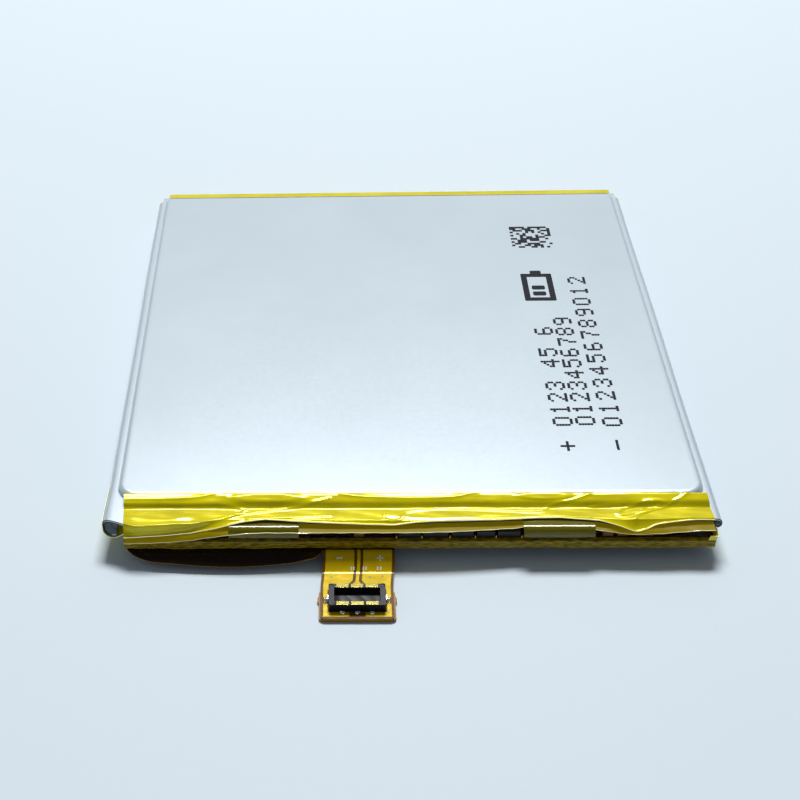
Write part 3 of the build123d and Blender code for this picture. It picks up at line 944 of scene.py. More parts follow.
def trace_reach(y):
    """Distance of the sense trace's edge from the tail's middle. It widens into its pad with the
    same slanted step, a little later."""
    step = np.clip((widen[0] - 0.1 - y) / (widen[0] - widen[1]), 0, 1)
    return trace_half + (pad_half - trace_half) * step


def copper_edge(side, reach):
    """An edge of the copper on one side of the tail's middle, at a distance that is a number or
    a function of y."""
    return lambda y: tail_middle + side * (reach(y) if callable(reach) else np.full(len(y), reach))


def mirrored_pour(side, inner, outer, back, front, columns=9):
    """A stretch of one pour between its inner and outer distances from the tail's middle."""
    near, far = copper_edge(side, inner), copper_edge(side, outer)
    left, right = (near, far) if side > 0 else (far, near)
    return tail_sheet(left, right, back, front, copper_lift, columns=columns)


beside = tail_middle - housing_low[0] + 0.1
pour_break = housing_high[1] + 0.02
pour_front = tail_front + rim
for side, sign in ((-1, "negative"), (1, "positive")):
    neck_copper = new_piece(
        f"copper_{sign}_neck",
        *mirrored_pour(side, inner_edge, pour_out, neck_start, tail_split),
        copper,
    )
    thicken(neck_copper, 0.03)
    blend_tail(neck_copper)
    end_copper = new_piece(
        f"copper_{sign}_end",
        *joined(
            mirrored_pour(side, inner_edge, pour_out, tail_split, pour_break),
            mirrored_pour(side, beside, pour_out, pour_break, clip_gap[0], 3),
            mirrored_pour(side, beside, pour_out, clip_gap[1], foot_back, 3),
            mirrored_pour(side, pad_edge, pour_out, foot_back, pour_front),
        ),
        copper,
    )
    thicken(end_copper, 0.03)
    blend_tail(end_copper)
    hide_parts(f"copper_{sign}")


trace_edges = copper_edge(-1, trace_reach), copper_edge(1, trace_reach)
sense_neck = new_piece(
    "copper_sense_neck",
    *tail_sheet(*trace_edges, neck_start, tail_split, copper_lift, columns=3),
    copper,
)
thicken(sense_neck, 0.03)
blend_tail(sense_neck)
sense_end = new_piece(
    "copper_sense_end",
    *tail_sheet(*trace_edges, tail_split, housing_high[1], copper_lift, columns=3),
    copper,
)
thicken(sense_end, 0.03)
blend_tail(sense_end)
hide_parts("copper_sense")

# Vias: the drilled and filmed-over holes between the copper layers are drawn as flat discs painted
# dark, painted shade for the hollows of the holes.
via_shade = grained("via hole with painted shade", "#2A1405", 0.05, tone=0.2, gloss=(0.2, 0.35), relief=0.004)
via_places = [(-7.55, -36.6), (-3.95, -36.6), (-2.75, -36.5), (-7.95, -41.2), (-2.35, -41.2)]
vias = new_piece(
    "tail_vias",
    *rounded_pads(via_places, 0.085, 0.085, tail_end_top + 0.032, 0.075),
    via_shade,
)
thicken(vias, 0.02)
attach(vias, "tail_end")

# Screen ink is matt and stands a little proud: a minus and a plus on the two pours, and ticks
# beside the sense trace.
screen_ink = grained(
    "white screen ink", "#EDEBE2", 0.08, tone=0.06, gloss=(0.5, 0.65), relief=0.004
)


def tail_bars(bars, lift):
    """Points and faces of straight bars (left, right, back, front) laid on the tail."""
    return joined(*(
        tail_sheet(low, high, back, front, lift, columns=3) for low, high, back, front in bars
    ))


ink_lift = flex_thickness / 2 + 0.034
polarity = new_piece(
    "tail_polarity_marks",
    *tail_bars(
        [(-7.35, -6.75, -34.6, -34.74), (-3.5, -2.86, -34.6, -34.74), (-3.25, -3.11, -34.4, -34.94)],
        ink_lift,
    ),
    screen_ink,
)
thicken(polarity, 0.012)
blend_tail(polarity)
ticks = new_piece(
    "tail_tick_marks",
    *tail_bars(
        [(x, x + 0.14, -35.42, -35.74) for x in (-5.95, -5.7, -4.8, -4.55, -3.45, -3.15)], ink_lift
    ),
    screen_ink,
)
thicken(ticks, 0.012)
blend_tail(ticks)


# ---------------------------------------------------------------------------------------------
# Stiffener. A punched plate of thick polyimide glued under the tail's end so that the connector
# can be pressed home, with a small ear at each back corner where it was cut from its sheet.
# ---------------------------------------------------------------------------------------------
def punched_plate():
    """(x, y) of the plate: a square back, an ear with slanted shoulders on each side, and front
    corners rounded by a quarter circle."""
    half, back, corner, ear = 3.55, -38.5, 0.35, 0.14
    turn = np.linspace(0, np.pi / 2, 8)
    arc = (half - corner, tail_front + corner) + corner * np.column_stack([np.sin(turn), -np.cos(turn)])
    shoulders = [(half, -39.85), (half + ear, -39.6), (half + ear, -39.25), (half, -39.0)]
    right_side = np.vstack([arc, shoulders, (half, back)])
    left_side = right_side[::-1] * (-1, 1)
    return np.vstack([right_side, left_side]) + (tail_middle, 0)


# Thick polyimide is olive brown and dull at its cut faces.
plate_finish = grained(
    "punched polyimide plate", "#96690A", 0.25, tone=0.18, gloss=(0.3, 0.45), relief=0.006,
    Specular_IOR_Level=0.25,
)
plate_top = node_box("stiffener")[1][2]
outline = punched_plate()
plate = new_piece(
    "stiffener_plate",
    np.column_stack([outline, np.full(len(outline), plate_top)]),
    [np.arange(len(outline))],
    plate_finish,
    smooth=False,
)
thicken(plate, plate_top)
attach(plate, "tail_end")
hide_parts("stiffener")


# ---------------------------------------------------------------------------------------------
# Connector. A low socket moulded in black liquid-crystal polymer, a ring of four walls round a
# shallow floor, with gold-plated contacts pressed over its long walls and a clip at each end.
# ---------------------------------------------------------------------------------------------
# Liquid-crystal polymer is blue-black, with short flow marks along the walls.
connector_resin = grained(
    "liquid-crystal polymer", "#11141F", (0.35, 0.07, 0.35), tone=0.25, gloss=(0.28, 0.4),
    relief=0.003, Specular_IOR_Level=0.15,
)
softened_copy("connector_housing", 0.045, connector_resin, "tail_end")


def rounded_block(low, high, power=5.0, around=32, rise=14):
    """Points and faces of a block with softly rounded edges: a superellipse of that power in
    plan, whose size falls to nothing at the top and bottom along the same power."""
    middle, half = np.add(low, high) / 2, np.subtract(high, low) / 2
    turn = np.linspace(0, 2 * np.pi, around + 1)[:-1]
    tilt = np.linspace(-np.pi / 2, np.pi / 2, rise)[1:-1, None]

    def curve(wave):
        """A wave's size raised to 2 over the power, with its sign kept."""
        return np.sign(wave) * np.abs(wave) ** (2 / power)

    x = middle[0] + half[0] * curve(np.cos(tilt)) * curve(np.cos(turn))
    y = middle[1] + half[1] * curve(np.cos(tilt)) * curve(np.sin(turn))
    z = middle[2] + half[2] * curve(np.sin(tilt)) + 0 * turn
    return np.stack([x, y, z], -1).reshape(-1, 3), closed_rings(len(tilt), around)


post_width, post_depth = 0.52, 0.62
post_back = housing_high[1] + 0.10
posts = [
    rounded_block(
        (x, post_back - post_depth, housing_low[2]),
        (x + post_width, post_back, housing_high[2] + 0.02),
    )
    for x in (housing_low[0], housing_high[0] - post_width)
]
end_posts = new_piece("connector_end_posts", *joined(*posts), connector_resin)
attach(end_posts, "tail_end")

# Gold over nickel: a warm polished metal with fine rolling lines.
contact_gold = grained(
    "gold-plated contact", "#B4A75E", (0.4, 0.05, 0.4), tone=0.1, gloss=(0.10, 0.16),
    relief=0.0004, Metallic=1.0,
)
softened_copy("contacts_back", 0.018, contact_gold, "tail_end")
softened_copy("contacts_front", 0.018, contact_gold, "tail_end")

# Bright tin on the stamped clips is a cold, slightly milky mirror.
clip_tin = grained(
    "tin-plated clip", "#CFD2D4", 0.2, tone=0.1, gloss=(0.2, 0.35), relief=0.004, Metallic=1.0
)
softened_copy("hold_downs", 0.02, clip_tin, "tail_end")


# ---------------------------------------------------------------------------------------------
# Solder of the connector. Each contact foot and each clip sits in a small shining mound of
# solder that was printed as paste and melted in an oven.
# ---------------------------------------------------------------------------------------------
# Reflowed solder is a rippled mirror.
solder = grained(
    "reflowed solder", "#D9DCDE", 0.15, tone=0.12, gloss=(0.12, 0.28), relief=0.012, Metallic=1.0
)


def solder_mounds(places, half_x, half_y, height, seed):
    """Points and faces of one mound at each place: half an ellipsoid whose radius swells by two
    slow waves round it, different for each mound."""
    turn = np.linspace(0, 2 * np.pi, 25)[:-1]
    climb = np.linspace(0, np.pi / 2, 8)[:-1, None]
    phases = np.random.default_rng(seed).uniform(0, 2 * np.pi, (len(places), 2))
    swell = 1 + 0.10 * np.sin(2 * turn + phases[:, :1]) + 0.07 * np.sin(3 * turn + phases[:, 1:])
    radius = np.cos(climb)[None] * swell[:, None, :]
    x = half_x * radius * np.cos(turn)
    y = half_y * radius * np.sin(turn)
    z = height * np.sin(climb)[None] * (1 + 0 * radius)
    points = np.stack([x, y, z], -1).reshape(len(places), -1, 3) + np.asarray(places)[:, None]
    return copies(points, closed_rings(len(climb), len(turn)))


contact_pitch = 1.36
foot_reach = 0.16
base = housing_low[2]
feet = [
    (tail_middle + column * contact_pitch, edge, base)
    for edge in (housing_high[1] + foot_reach, housing_low[1] - foot_reach)
    for column in (-1, 0, 1)
]
foot_solder = new_piece(
    "contact_solder_mounds", *solder_mounds(feet, 0.29, 0.26, 0.27, 5), solder
)
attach(foot_solder, "tail_end")
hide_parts("contact_solder")

clip_low, clip_high = node_box("hold_downs")
clip_middle = (clip_low[1] + clip_high[1]) / 2
clip_inset = 0.17
clip_feet = [(x, clip_middle, base) for x in (clip_low[0] + clip_inset, clip_high[0] - clip_inset)]
clip_solder = new_piece(
    "hold_down_solder_mounds", *solder_mounds(clip_feet, 0.21, 0.27, 0.34, 9), solder
)
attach(clip_solder, "tail_end")
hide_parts("hold_down_solder")


# ---------------------------------------------------------------------------------------------
# Header tape. One strip of yellow polyimide tape laid by hand over the front edge of the cell and
# the flat header. It bridges the step, wrinkles, and hangs loose past the laminate's edge.
# ---------------------------------------------------------------------------------------------
def tape_film(name, hex_colour):
    """Yellow polyimide tape: clear stained film with a glassy face over glue and bright foil,
    so it is a saturated yellow with a sharp gloss, streaked where the glue is uneven."""
    made, tree = new_material(name)
    place = add_node(tree, "ShaderNodeTexCoord").outputs["Object"]
    streaked = add_node(
        tree, "ShaderNodeMapping",
        {"Scale": (1 / (6.0 * MM), 1 / (0.28 * MM), 1 / (0.28 * MM))}, {"Vector": place},
    )
    streaks = add_node(
        tree, "ShaderNodeTexNoise", {"Scale": 1.0, "Detail": 3.0}, {"Vector": streaked.outputs[0]}
    )
    blotches = add_node(
        tree, "ShaderNodeTexNoise", {"Scale": 1 / (2.6 * MM), "Detail": 2.0}, {"Vector": place}
    )
    both = add_node(
        tree, "ShaderNodeMath", None,
        {0: streaks.outputs["Fac"], 1: blotches.outputs["Fac"]}, operation="ADD",
    )
    value = add_node(
        tree, "ShaderNodeMapRange",
        {"From Min": 0.7, "From Max": 1.3, "To Min": 0.80, "To Max": 1.06},
        {"Value": both.outputs[0]},
    )
    colour = add_node(
        tree, "ShaderNodeHueSaturation", {"Color": linear(hex_colour)},
        {"Value": value.outputs["Result"]},
    )
    gloss = add_node(
        tree, "ShaderNodeMapRange", {"To Min": 0.12, "To Max": 0.22},
        {"Value": blotches.outputs["Fac"]},
    )
    relief = add_node(
        tree, "ShaderNodeBump", {"Strength": 0.6, "Distance": 0.010 * MM},
        {"Height": streaks.outputs["Fac"]},
    )
    set_surface(tree, add_node(
        tree, "ShaderNodeBsdfPrincipled",
        {"Metallic": 0.10, "Specular IOR Level": 0.12, "Coat Weight": 0.6, "Coat Roughness": 0.05},
        {"Base Color": colour.outputs["Color"], "Roughness": gloss.outputs["Result"],
         "Normal": relief.outputs["Normal"]},
    ))
    return made


yellow_tape = tape_film("yellow polyimide tape", "#E6D800")
# The cut edge of the tape is painted almost white and given a glow of its own: a painted highlight
# along its edges, which no lamp gives.
tape_edge_glow = grained(
    "cut film edge with painted glow", "#F6F2B8", 0.4, tone=0.1, gloss=(0.15, 0.3), Coat_Weight=1.0,
    Emission_Color=linear("#F6F4DC"), Emission_Strength=0.4,
)
tape = 0.05
tape_back = -29.05
fall_stations = [-30.6, -30.2, -29.35]  # foot, knee and top of the fall to the header
knee_rise = 0.45
# The loose lip: its y and z at each x.
lip_stations = [
    -27.75, -27.4, -24, -21.2, -19.1, -17.7, -16.2, -14, -10.3, -7.7, -5.4, -1.8, 0.3, 3, 8, 12,
    14, 16.3, 17.7, 19.6, 21, 22, 22.9, 24.8, 27, 28.3,
]
lip_y = [
    -33.6, -33.6, -33.5, -33.35, -33.2, -33.0, -32.6, -32.3, -32.6, -32.75, -32.8, -32.9, -32.7,
    -32.5, -32.4, -32.1, -32.1, -32.3, -32.5, -33.1, -33.4, -33.2, -32.8, -32.5, -32.3, -32.3,
]
lip_z = [
    2.63, 2.63, 2.8, 3.0, 3.37, 3.6, 3.75, 3.8, 3.74, 3.68, 3.62, 3.54, 3.73, 3.78, 3.75, 3.76,
    3.76, 3.68, 3.73, 3.52, 3.05, 3.23, 3.48, 3.58, 3.7, 3.69,
]


def lip_place(x, softness=0.35):
    """(y, z) of the tape's loose front edge at x."""
    return (
        soft_line(x, lip_stations, lip_y, softness), soft_line(x, lip_stations, lip_z, softness)
    )


def smooth_route(points, count=60):
    """Points along the curve through given points: each span is a cubic whose slope at a
    point is half the step between its two neighbours."""
    points = np.asarray(points, float)
    ends = np.vstack([2 * points[:1] - points[1:2], points, 2 * points[-1:] - points[-2:-1]])
    place = np.linspace(0, len(points) - 1, count)
    span = np.minimum(place.astype(int), len(points) - 2)
    t = (place - span)[:, None]
    a, b, c, d = (ends[span + k] for k in range(4))
    return 0.5 * (2 * b + (c - a) * t + (2 * a - 5 * b + 4 * c - d) * t**2
                  + (3 * b - a - 3 * c + d) * t**3)


def distance_to(route, x, y):
    """Distance of each point of a grid from a route, span by span."""
    nearest = np.full(x.shape, 99.0)
    for (x0, y0), (x1, y1) in zip(route, route[1:]):
        run = np.array([x1 - x0, y1 - y0])
        share = ((x - x0) * run[0] + (y - y0) * run[1]) / (run @ run + 1e-9)
        share = np.clip(share, 0, 1)
        nearest = np.minimum(nearest, np.hypot(x - x0 - share * run[0], y - y0 - share * run[1]))
    return nearest


# Creases of the tape, as (height, half width, points of the crease).
creases = [
    (0.054, 0.15, [(-27.9, -29.85), (-24.0, -29.8), (-20.9, -29.65), (-19.2, -29.3),
                   (-18.2, -28.8)]),
    (0.060, 0.15, [(-27.9, -30.3), (-22.0, -30.35), (-18.3, -30.35), (-16.1, -30.75),
                   (-15.9, -31.05), (-17.1, -31.8), (-19.8, -32.6), (-25.0, -33.0)]),
    (0.050, 0.14, [(-7.7, -29.8), (-10.0, -30.4), (-15.6, -31.35), (-18.5, -32.2), (-20.5, -33.0)]),
    (0.046, 0.14, [(-7.7, -31.7), (-11.0, -31.9), (-15.6, -32.2)]),
    (0.060, 0.15, [(19.6, -31.5), (20.2, -30.9), (22.0, -30.35), (23.5, -30.15), (24.0, -30.4),
                   (22.9, -30.9), (21.0, -31.5), (19.9, -31.75), (19.6, -31.5)]),
    (0.054, 0.15, [(26.9, -28.8), (25.9, -29.8), (24.1, -30.7), (22.2, -31.4), (21.4, -31.9),
                   (21.05, -32.8)]),
    (0.054, 0.15, [(-2.3, -31.0), (-2.5, -32.0), (-1.9, -32.5), (-0.9, -32.2), (-0.2, -31.2),
                   (1.5, -30.9), (6.0, -30.8), (10.5, -31.1), (12.5, -31.1), (13.4, -30.5),
                   (15.5, -30.1), (17.2, -29.4)]),
    (0.056, 0.16, [(-7.4, -28.8), (-5.5, -29.5), (-1.0, -29.75), (4.0, -29.7), (6.0, -29.2),
                   (8.4, -28.8)]),
    (0.046, 0.14, [(17.2, -30.6), (20.5, -30.4), (24.5, -30.3)]),
]
# Soft swells over the two tabs, as (middle x, middle y, half length, half width, height).
swells = [(-13.75, -29.75, 3.4, 0.55, 0.10), (12.9, -29.6, 2.6, 0.45, 0.08),
          (-23.5, -31.5, 3.4, 0.8, 0.02), (2.5, -31.6, 5.0, 0.6, 0.03)]


def tape_surface(columns, rows=72):
    """Points and faces of the header tape. Down its width it lies on the top face, falls to the
    header gently and then steeply, and past the laminate's edge drops to its lip: mostly along
    a parabola that ends level, with a tenth of it along a power of 1.6 that ends steep. Creases
    are bells across their routes, swells are smooth mounds, and the lip curls up at its edge."""
    x = np.linspace(-27.6, 28.5, columns)
    front, fall = lip_place(x)
    share = 1 - (1 - np.linspace(0, 1, rows)[:, None]) ** 1.35
    back = tape_back - 0.004 * (x + 27.6)
    y = back + share * (front - back)
    x = np.repeat(x[None], rows, 0) + 0.28 * share - 0.1
    terrace = seam_top + tape + 0.02
    heights = [terrace, terrace + knee_rise, cell_top + tape + 0.01]
    z = soft_line(y, fall_stations, heights, 0.14)
    edge = np.maximum(soft_line(x[-1], header_stations, header_edge, 0.8), front + 0.12)
    past = np.clip((edge - y) / (edge - front), 0, 1)
    z = z + (fall - terrace) * (0.1 * past**1.6 + 0.9 * (1 - (1 - past) ** 2))
    for height, half_width, points in creases:
        away = distance_to(smooth_route(points), x, y)
        z = z + height * np.exp(-((away / half_width) ** 2)) * (1 - 0.6 * past)
    for middle_x, middle_y, half_x, half_y, height in swells:
        away = np.hypot((x - middle_x) / half_x, (y - middle_y) / half_y)
        z = z + height * smooth_step((1.25 - away) / 0.5)
    flutter = 0.012 * np.sin(1.9 * x + 2.2 * y) * np.sin(0.7 * x - 3.1 * y)
    z = z + flutter * smooth_step((tape_back - 0.5 - y) / 0.8)
    curl = np.clip((share - 0.93) / 0.07, 0, 1)
    z = z + 0.13 * curl**2 * smooth_step((edge - front - 0.1) / 0.2)
    return np.stack([x, y, z], -1).reshape(-1, 3), [*grid_quads(rows, columns)[:, ::-1]]


def finish_last_faces(piece, count, material):
    """Gives the last faces of a grid, along a cut edge, another finish: here a pale glowing one, a
    painted highlight along that edge.
    """
    piece.data.materials.append(material)
    slots = np.zeros(len(piece.data.polygons), int)
    slots[-count:] = len(piece.data.materials) - 1
    piece.data.polygons.foreach_set("material_index", slots)


columns = 520
header_tape = new_piece("header_tape_film", *tape_surface(columns), yellow_tape)
# The last two rows along the tape's lip take that glowing finish, a painted highlight line.
finish_last_faces(header_tape, 2 * (columns - 1), tape_edge_glow)
thicken(header_tape, tape, tape_edge_glow)
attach(header_tape, "pack")
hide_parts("header_tape")


# ---------------------------------------------------------------------------------------------
# Lip film. A second, thinner strip of the same tape under the first, stuck to the header from
# below and bent down in front of the tabs, where it shows as dim olive amber.
# ---------------------------------------------------------------------------------------------
# Thin polyimide is given a faint amber glow, painted light that brightens it in the tape's shade.
amber = clear_film(
    "clear amber film", "#A09004", "#B4A012", 0.55, gloss=(0.3, 0.4), crinkle=0.002, painted_glow=0.27,
    Specular_IOR_Level=0.1,
)
# Its slit edge is painted a pale cream and glows a little, less than the thicker tape's does: a painted
# highlight along the film's edge.
film_edge_glow = grained(
    "slit film edge with painted glow", "#F4EFB0", 0.3, tone=0.1, gloss=(0.2, 0.3), Coat_Weight=1.0,
    Emission_Color=linear("#E8E4A8"), Emission_Strength=0.2,
)
film_left, film_right = -27.4, 28.6
# The film's free edge: its y and z at each x.
film_stations = [
    -27.4, -24, -21.2, -19.1, -17, -14.2, -11.4, -10.15, -8.4, -5.4, 0.6, 3.6, 6.5, 10, 12, 13.9,
    16, 18.6, 20.6, 23.3, 26.1, 28.7,
]
film_y = [
    -33.9, -33.9, -33.9, -33.8, -33.7, -33.6, -33.6, -33.6, -33.6, -33.6, -33.6, -33.5, -33.3,
    -33.0, -32.6, -32.7, -33.0, -33.4, -33.6, -33.6, -33.4, -33.4,
]
film_z = [
    2.22, 2.34, 2.6, 2.9, 3.17, 3.39, 3.38, 3.25, 3.40, 3.39, 3.47, 3.47, 3.56, 3.66, 3.60, 3.55,
    3.43, 3.22, 3.0, 3.08, 3.2, 3.45,
]


def film_surface(columns, rows=18):
    """Points and faces of the lip film: from behind the tape's lip, along a quadratic curve that
    starts level, to its own wavy edge."""
    x = np.linspace(film_left, film_right, columns)
    lip, fall = lip_place(x)
    end_y = soft_line(x, film_stations, film_y, 0.4)
    end_z = soft_line(x, film_stations, film_z, 0.4)
    t = np.linspace(0, 1, rows)[:, None] ** 0.7
    start_y, start_z = lip + 0.35, np.minimum(fall + 0.02, seam_height - 0.22)
    bend_y, bend_z = (start_y + 2 * end_y) / 3, start_z
    y = (1 - t) ** 2 * start_y + 2 * t * (1 - t) * bend_y + t**2 * end_y
    z = (1 - t) ** 2 * start_z + 2 * t * (1 - t) * bend_z + t**2 * np.minimum(end_z, start_z)
    z = z + 0.02 * np.sin(3.1 * x) * t
    x = np.repeat(x[None], rows, 0)
    return np.stack([x, y, z], -1).reshape(-1, 3), [*grid_quads(rows, columns)[:, ::-1]]


columns = 240
lip_film = new_piece("lip_film_sheet", *film_surface(columns), amber)
# The film's last row and its rims take that glowing finish, a painted highlight line.
finish_last_faces(lip_film, columns - 1, film_edge_glow)
thicken(lip_film, 0.04, film_edge_glow)
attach(lip_film, "pack")
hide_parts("lip_film")


# ---------------------------------------------------------------------------------------------
# Edge tapes. Short strips of polyimide tape: over the back edge of the cell, round the board's
# front edge, over its right end and round the left fold near the header.
# ---------------------------------------------------------------------------------------------
def tape_strip(stations, route, wave, rows_per_mm=14, columns_per_mm=4, jitter=0.0, seed=3):
    """Points and faces of tape carried across by the stations (start, stop) along a route given
    in the other two axes. The route's corners are softened, and its free end waves."""
    start, stop = stations
    route = np.asarray(route, float)
    length = np.r_[0, np.cumsum(np.hypot(*np.diff(route, axis=0).T))]
    rows = int(length[-1] * rows_per_mm) + 2
    columns = int(abs(stop - start) * columns_per_mm) + 2
    s = np.linspace(0, length[-1], rows)
    u = soft_line(s, length, route[:, 0], 0.05)
    v = soft_line(s, length, route[:, 1], 0.05)
    along = np.linspace(start, stop, columns)
    share = (s / length[-1])[:, None]
    phases = np.random.default_rng(seed).uniform(0, 6.28, 6)
    free = sum(np.sin(along * f + p) for f, p in zip((0.31, 0.83, 1.7), phases)) * wave * share**2
    rough = jitter * sum(
        np.sin(along * f + 9 * s[:, None] + p) for f, p in zip((2.3, 4.1, 6.7), phases[3:])
    )
    return along, u[:, None] + rough * 0.5, v[:, None] + free + rough * 0.3


def along_x_tape(name, stations, route, material, wave=0.05, jitter=0.0, seed=3, flip=False):
    """A tape whose route is in (y, z) and that runs along x."""
    x, y, z = tape_strip(stations, route, wave, jitter=jitter, seed=seed)
    x, y, z = np.broadcast_arrays(x[None, :], y, z)
    quads = grid_quads(*x.shape)
    return new_piece(
        name, np.stack([x, y, z], -1), [*(quads[:, ::-1] if flip else quads)], material
    )


end_front = node_box("end_tape")[1][1]
end_top = cell_top + 0.03 + tape
end_tape = along_x_tape(
    "end_tape_film", (-28.0, 28.1),
    [(28.35, end_top), (29.2, end_top - 0.01), (29.75, end_top - 0.28), (end_front, end_top - 0.75),
     (end_front, 0.8)],
    yellow_tape, wave=0.04, seed=11,
)
thicken(end_tape, tape, tape_edge_glow)
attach(end_tape, "pack")
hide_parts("end_tape")

# Round the board the tape lies over dark parts, so the same film looks olive and brown.
board_tape_finish = grained(
    "polyimide tape over the board", "#857204", (0.9, 0.4, 0.13), tone=0.9, gloss=(0.2, 0.34),
    relief=0.03, Specular_IOR_Level=0.25, Coat_Weight=0.1, Coat_Roughness=0.10,
)
edge_low, edge_high = node_box("board_edge_tape")
board_edge_tape = along_x_tape(
    "board_edge_tape_film", (edge_low[0] - 0.25, edge_high[0] + 0.12),
    [(-33.1, edge_high[2]), (edge_low[1] + 0.05, edge_high[2]), (edge_low[1], edge_high[2] - 0.06),
     (edge_low[1], edge_low[2])],
    board_tape_finish, wave=0.03, jitter=0.010, seed=21, flip=True,
)
thicken(board_edge_tape, tape, board_tape_finish)
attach(board_edge_tape, "pack")
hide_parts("board_edge_tape")

fold_low, fold_high = node_box("fold_tape")
fold_offset = 0.30             # from the seam's middle out to the tape's face
tongue_length, tongue_rise = 0.9, (0.15, 0.5)
fold_sag = 0.16


def fold_strip(skip=6):
    """Points and faces of the tape round the left fold: the roll's own outside, less its first
    points. Towards the header a loose tongue runs on from its end, inwards and up along a
    parabola, and the strip sags along another parabola across it."""
    y = np.linspace(fold_high[1], fold_low[1] - 0.15, 40)[:, None]
    x, z = rolled_side(fold_offset, y, -1)
    loose = smooth_step((-29.0 - y) / 3.0)
    past = np.linspace(0, 1, 7)[1:] * loose
    x = np.hstack([x[:, skip:], x[:, -1:] + tongue_length * past])
    z = np.hstack([z[:, skip:], z[:, -1:] + tongue_rise[0] * past + tongue_rise[1] * past**2])
    share = np.linspace(0, 1, x.shape[1])
    z = z - fold_sag * loose * 4 * share * (1 - share)
    points = np.stack(np.broadcast_arrays(x, y, z), -1).reshape(-1, 3)
    return points, [*grid_quads(len(y), x.shape[1])]


fold_tape = new_piece("fold_tape_film", *fold_strip(), yellow_tape)
thicken(fold_tape, tape, tape_edge_glow)
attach(fold_tape, "pack")
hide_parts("fold_tape")

strip_low, strip_high = node_box("board_end_tape")


def end_flap():
    """Points and faces of the tape over the board's right end: an upright strip that leans out a
    little at the top and turns a short way round the front."""
    z = np.linspace(strip_low[2] - 0.02, strip_high[2] + 0.25, 24)[:, None]
    turn = np.linspace(0, np.pi / 2, 9)
    bend, lap = 0.12, 0.75
    front = (strip_high[0] - lap, strip_low[1] - 0.02)
    corner = np.column_stack([
        strip_high[0] - bend + bend * np.sin(turn), front[1] + bend - bend * np.cos(turn)
    ])
    along = np.linspace(strip_low[1] + 0.25, strip_high[1], 20)
    side = np.column_stack([np.full(len(along), strip_high[0]), along])
    ring = np.vstack([front, corner, side])
    lean = 0.25 * ((z - z[0]) / (z[-1] - z[0])) ** 2
    x = ring[:, 0] + lean + 0.02 * np.sin(ring[:, 1] * 2.7 + 3 * z)
    y = ring[:, 1] + 0 * z
    return np.stack([x, y, z + 0 * x], -1).reshape(-1, 3), [*grid_quads(len(z), len(ring))]


board_end_tape = new_piece("board_end_tape_film", *end_flap(), yellow_tape)
thicken(board_end_tape, tape, tape_edge_glow)
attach(board_end_tape, "pack")
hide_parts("board_end_tape")
# The winding inside is closed with a strip of the same tape.
finish_node("winding_tape", yellow_tape)


# ---------------------------------------------------------------------------------------------
# Print. Black ink jetted and stamped on the top face: polarity signs, three lines of plain
# ascending digits, a battery sign and a block of random squares. None of it is a real mark.
# ---------------------------------------------------------------------------------------------
# Solvent ink dries to a thin, slightly uneven matt black.
ink = grained(
    "solvent ink", "#0A1020", 0.25, tone=0.25, gloss=(0.5, 0.65), relief=0.002,
    Specular_IOR_Level=0.15,
)


def ink_patches(name, centres, half_sizes, corner=0.35):
    """Thin flat patches of ink: rectangles whose corners are cut by a share of the shorter half
    side, at the top face's height."""
    centres = np.asarray(centres, float)
    half = np.broadcast_to(np.asarray(half_sizes, float), centres.shape)
    cut = corner * half.min(1, keepdims=True)
    long_x, long_y = half[:, :1], half[:, 1:]
    near_x, near_y = long_x - cut, long_y - cut
    x = np.hstack([near_x, long_x, long_x, near_x, -near_x, -long_x, -long_x, -near_x])
    y = np.hstack([-long_y, -near_y, near_y, long_y, long_y, near_y, -near_y, -long_y])
    x, y = centres[:, :1] + x, centres[:, 1:] + y
    points = np.stack([x, y, top_height(x, y) + 0.012], -1).reshape(-1, 3)
    piece = new_piece(name, points, [*np.arange(len(points)).reshape(-1, 8)], ink, smooth=False)
    thicken(piece, 0.014)
    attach(piece, "pack")


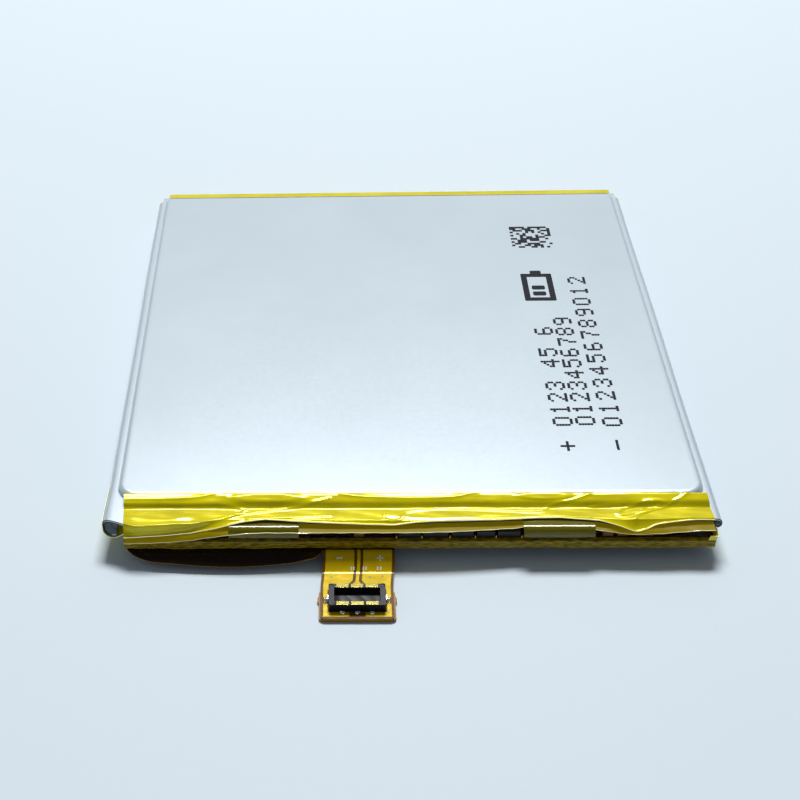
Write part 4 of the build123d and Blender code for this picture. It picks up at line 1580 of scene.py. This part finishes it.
# Rows of each digit, top to bottom, on a grid of five columns; # is a drop of ink.
digit_rows = {
    "0": ".###. #...# #...# #...# #...# #...# .###.",
    "1": "..#.. .##.. ..#.. ..#.. ..#.. ..#.. .###.",
    "2": ".###. #...# ....# ...#. ..#.. .#... #####",
    "3": ".###. #...# ....# ..##. ....# #...# .###.",
    "4": "...#. ..##. .#.#. #..#. ##### ...#. ...#.",
    "5": "##### #.... ####. ....# ....# #...# .###.",
    "6": ".###. #.... #.... ####. #...# #...# .###.",
    "7": "##### ....# ...#. ...#. ..#.. ..#.. ..#..",
    "8": ".###. #...# #...# .###. #...# #...# .###.",
    "9": ".###. #...# #...# .#### ....# ....# .###.",
}


def digit_line(text, middle_x, start_y, stop_y, height=1.75, width=1.15):
    """Places of the drops of a line of digits that reads along +y, with its tops towards -x."""
    pitch = (stop_y - start_y - width) / (len(text) - 1)
    places = []
    for k, digit in enumerate(text):
        for r, row in enumerate(digit_rows.get(digit, "").split()):
            x = middle_x - height / 2 + r * height / 6
            y = start_y + k * pitch
            places += [(x, y + c * width / 4) for c, dot in enumerate(row) if dot == "#"]
    return places


drop = 0.16                    # half width of a drop of ink
for number, (text, middle_x, start_y, stop_y) in enumerate([
    ("0123 45 6", 16.15, -18.7, -1.4),
    ("0123456789", 18.45, -18.6, 0.45),
    ("0123456789012", 21.15, -18.8, 8.8),
]):
    ink_patches(
        f"ink_digits_{number + 1}", digit_line(text, middle_x, start_y, stop_y), drop, corner=0.5
    )

plus, minus = (16.15, -22.1), (21.1, -21.95)
ink_patches(
    "ink_polarity_signs",
    [plus, plus, minus],
    [(0.74, 0.15), (0.14, 0.77), (0.14, 0.8)],
)

sign = (16.6, 6.9)
outline_half, stroke = (1.45, 2.5), 0.34
battery_bars = [
    ((-outline_half[0], 0), (stroke, outline_half[1] + stroke)),
    ((outline_half[0], 0), (stroke, outline_half[1] + stroke)),
    ((0, -outline_half[1]), (outline_half[0], stroke)),
    ((0, outline_half[1]), (outline_half[0], stroke)),
    ((0, outline_half[1] + 0.65), (0.65, 0.36)),
    ((0, -1.35), (0.75, 0.42)),
    ((0, -0.1), (0.75, 0.42)),
]
ink_patches(
    "ink_battery_sign",
    [np.add(sign, place) for place, _ in battery_bars],
    [half for _, half in battery_bars],
)

block_middle, block_cells, block_size = (17.0, 18.0), 13, 4.9
filled = np.argwhere(np.random.default_rng(4).random((block_cells, block_cells)) < 0.55)
cell = block_size / block_cells
ink_patches(
    "ink_square_block",
    (filled - (block_cells - 1) / 2) * cell + block_middle,
    cell / 2,
    corner=0.15,
)
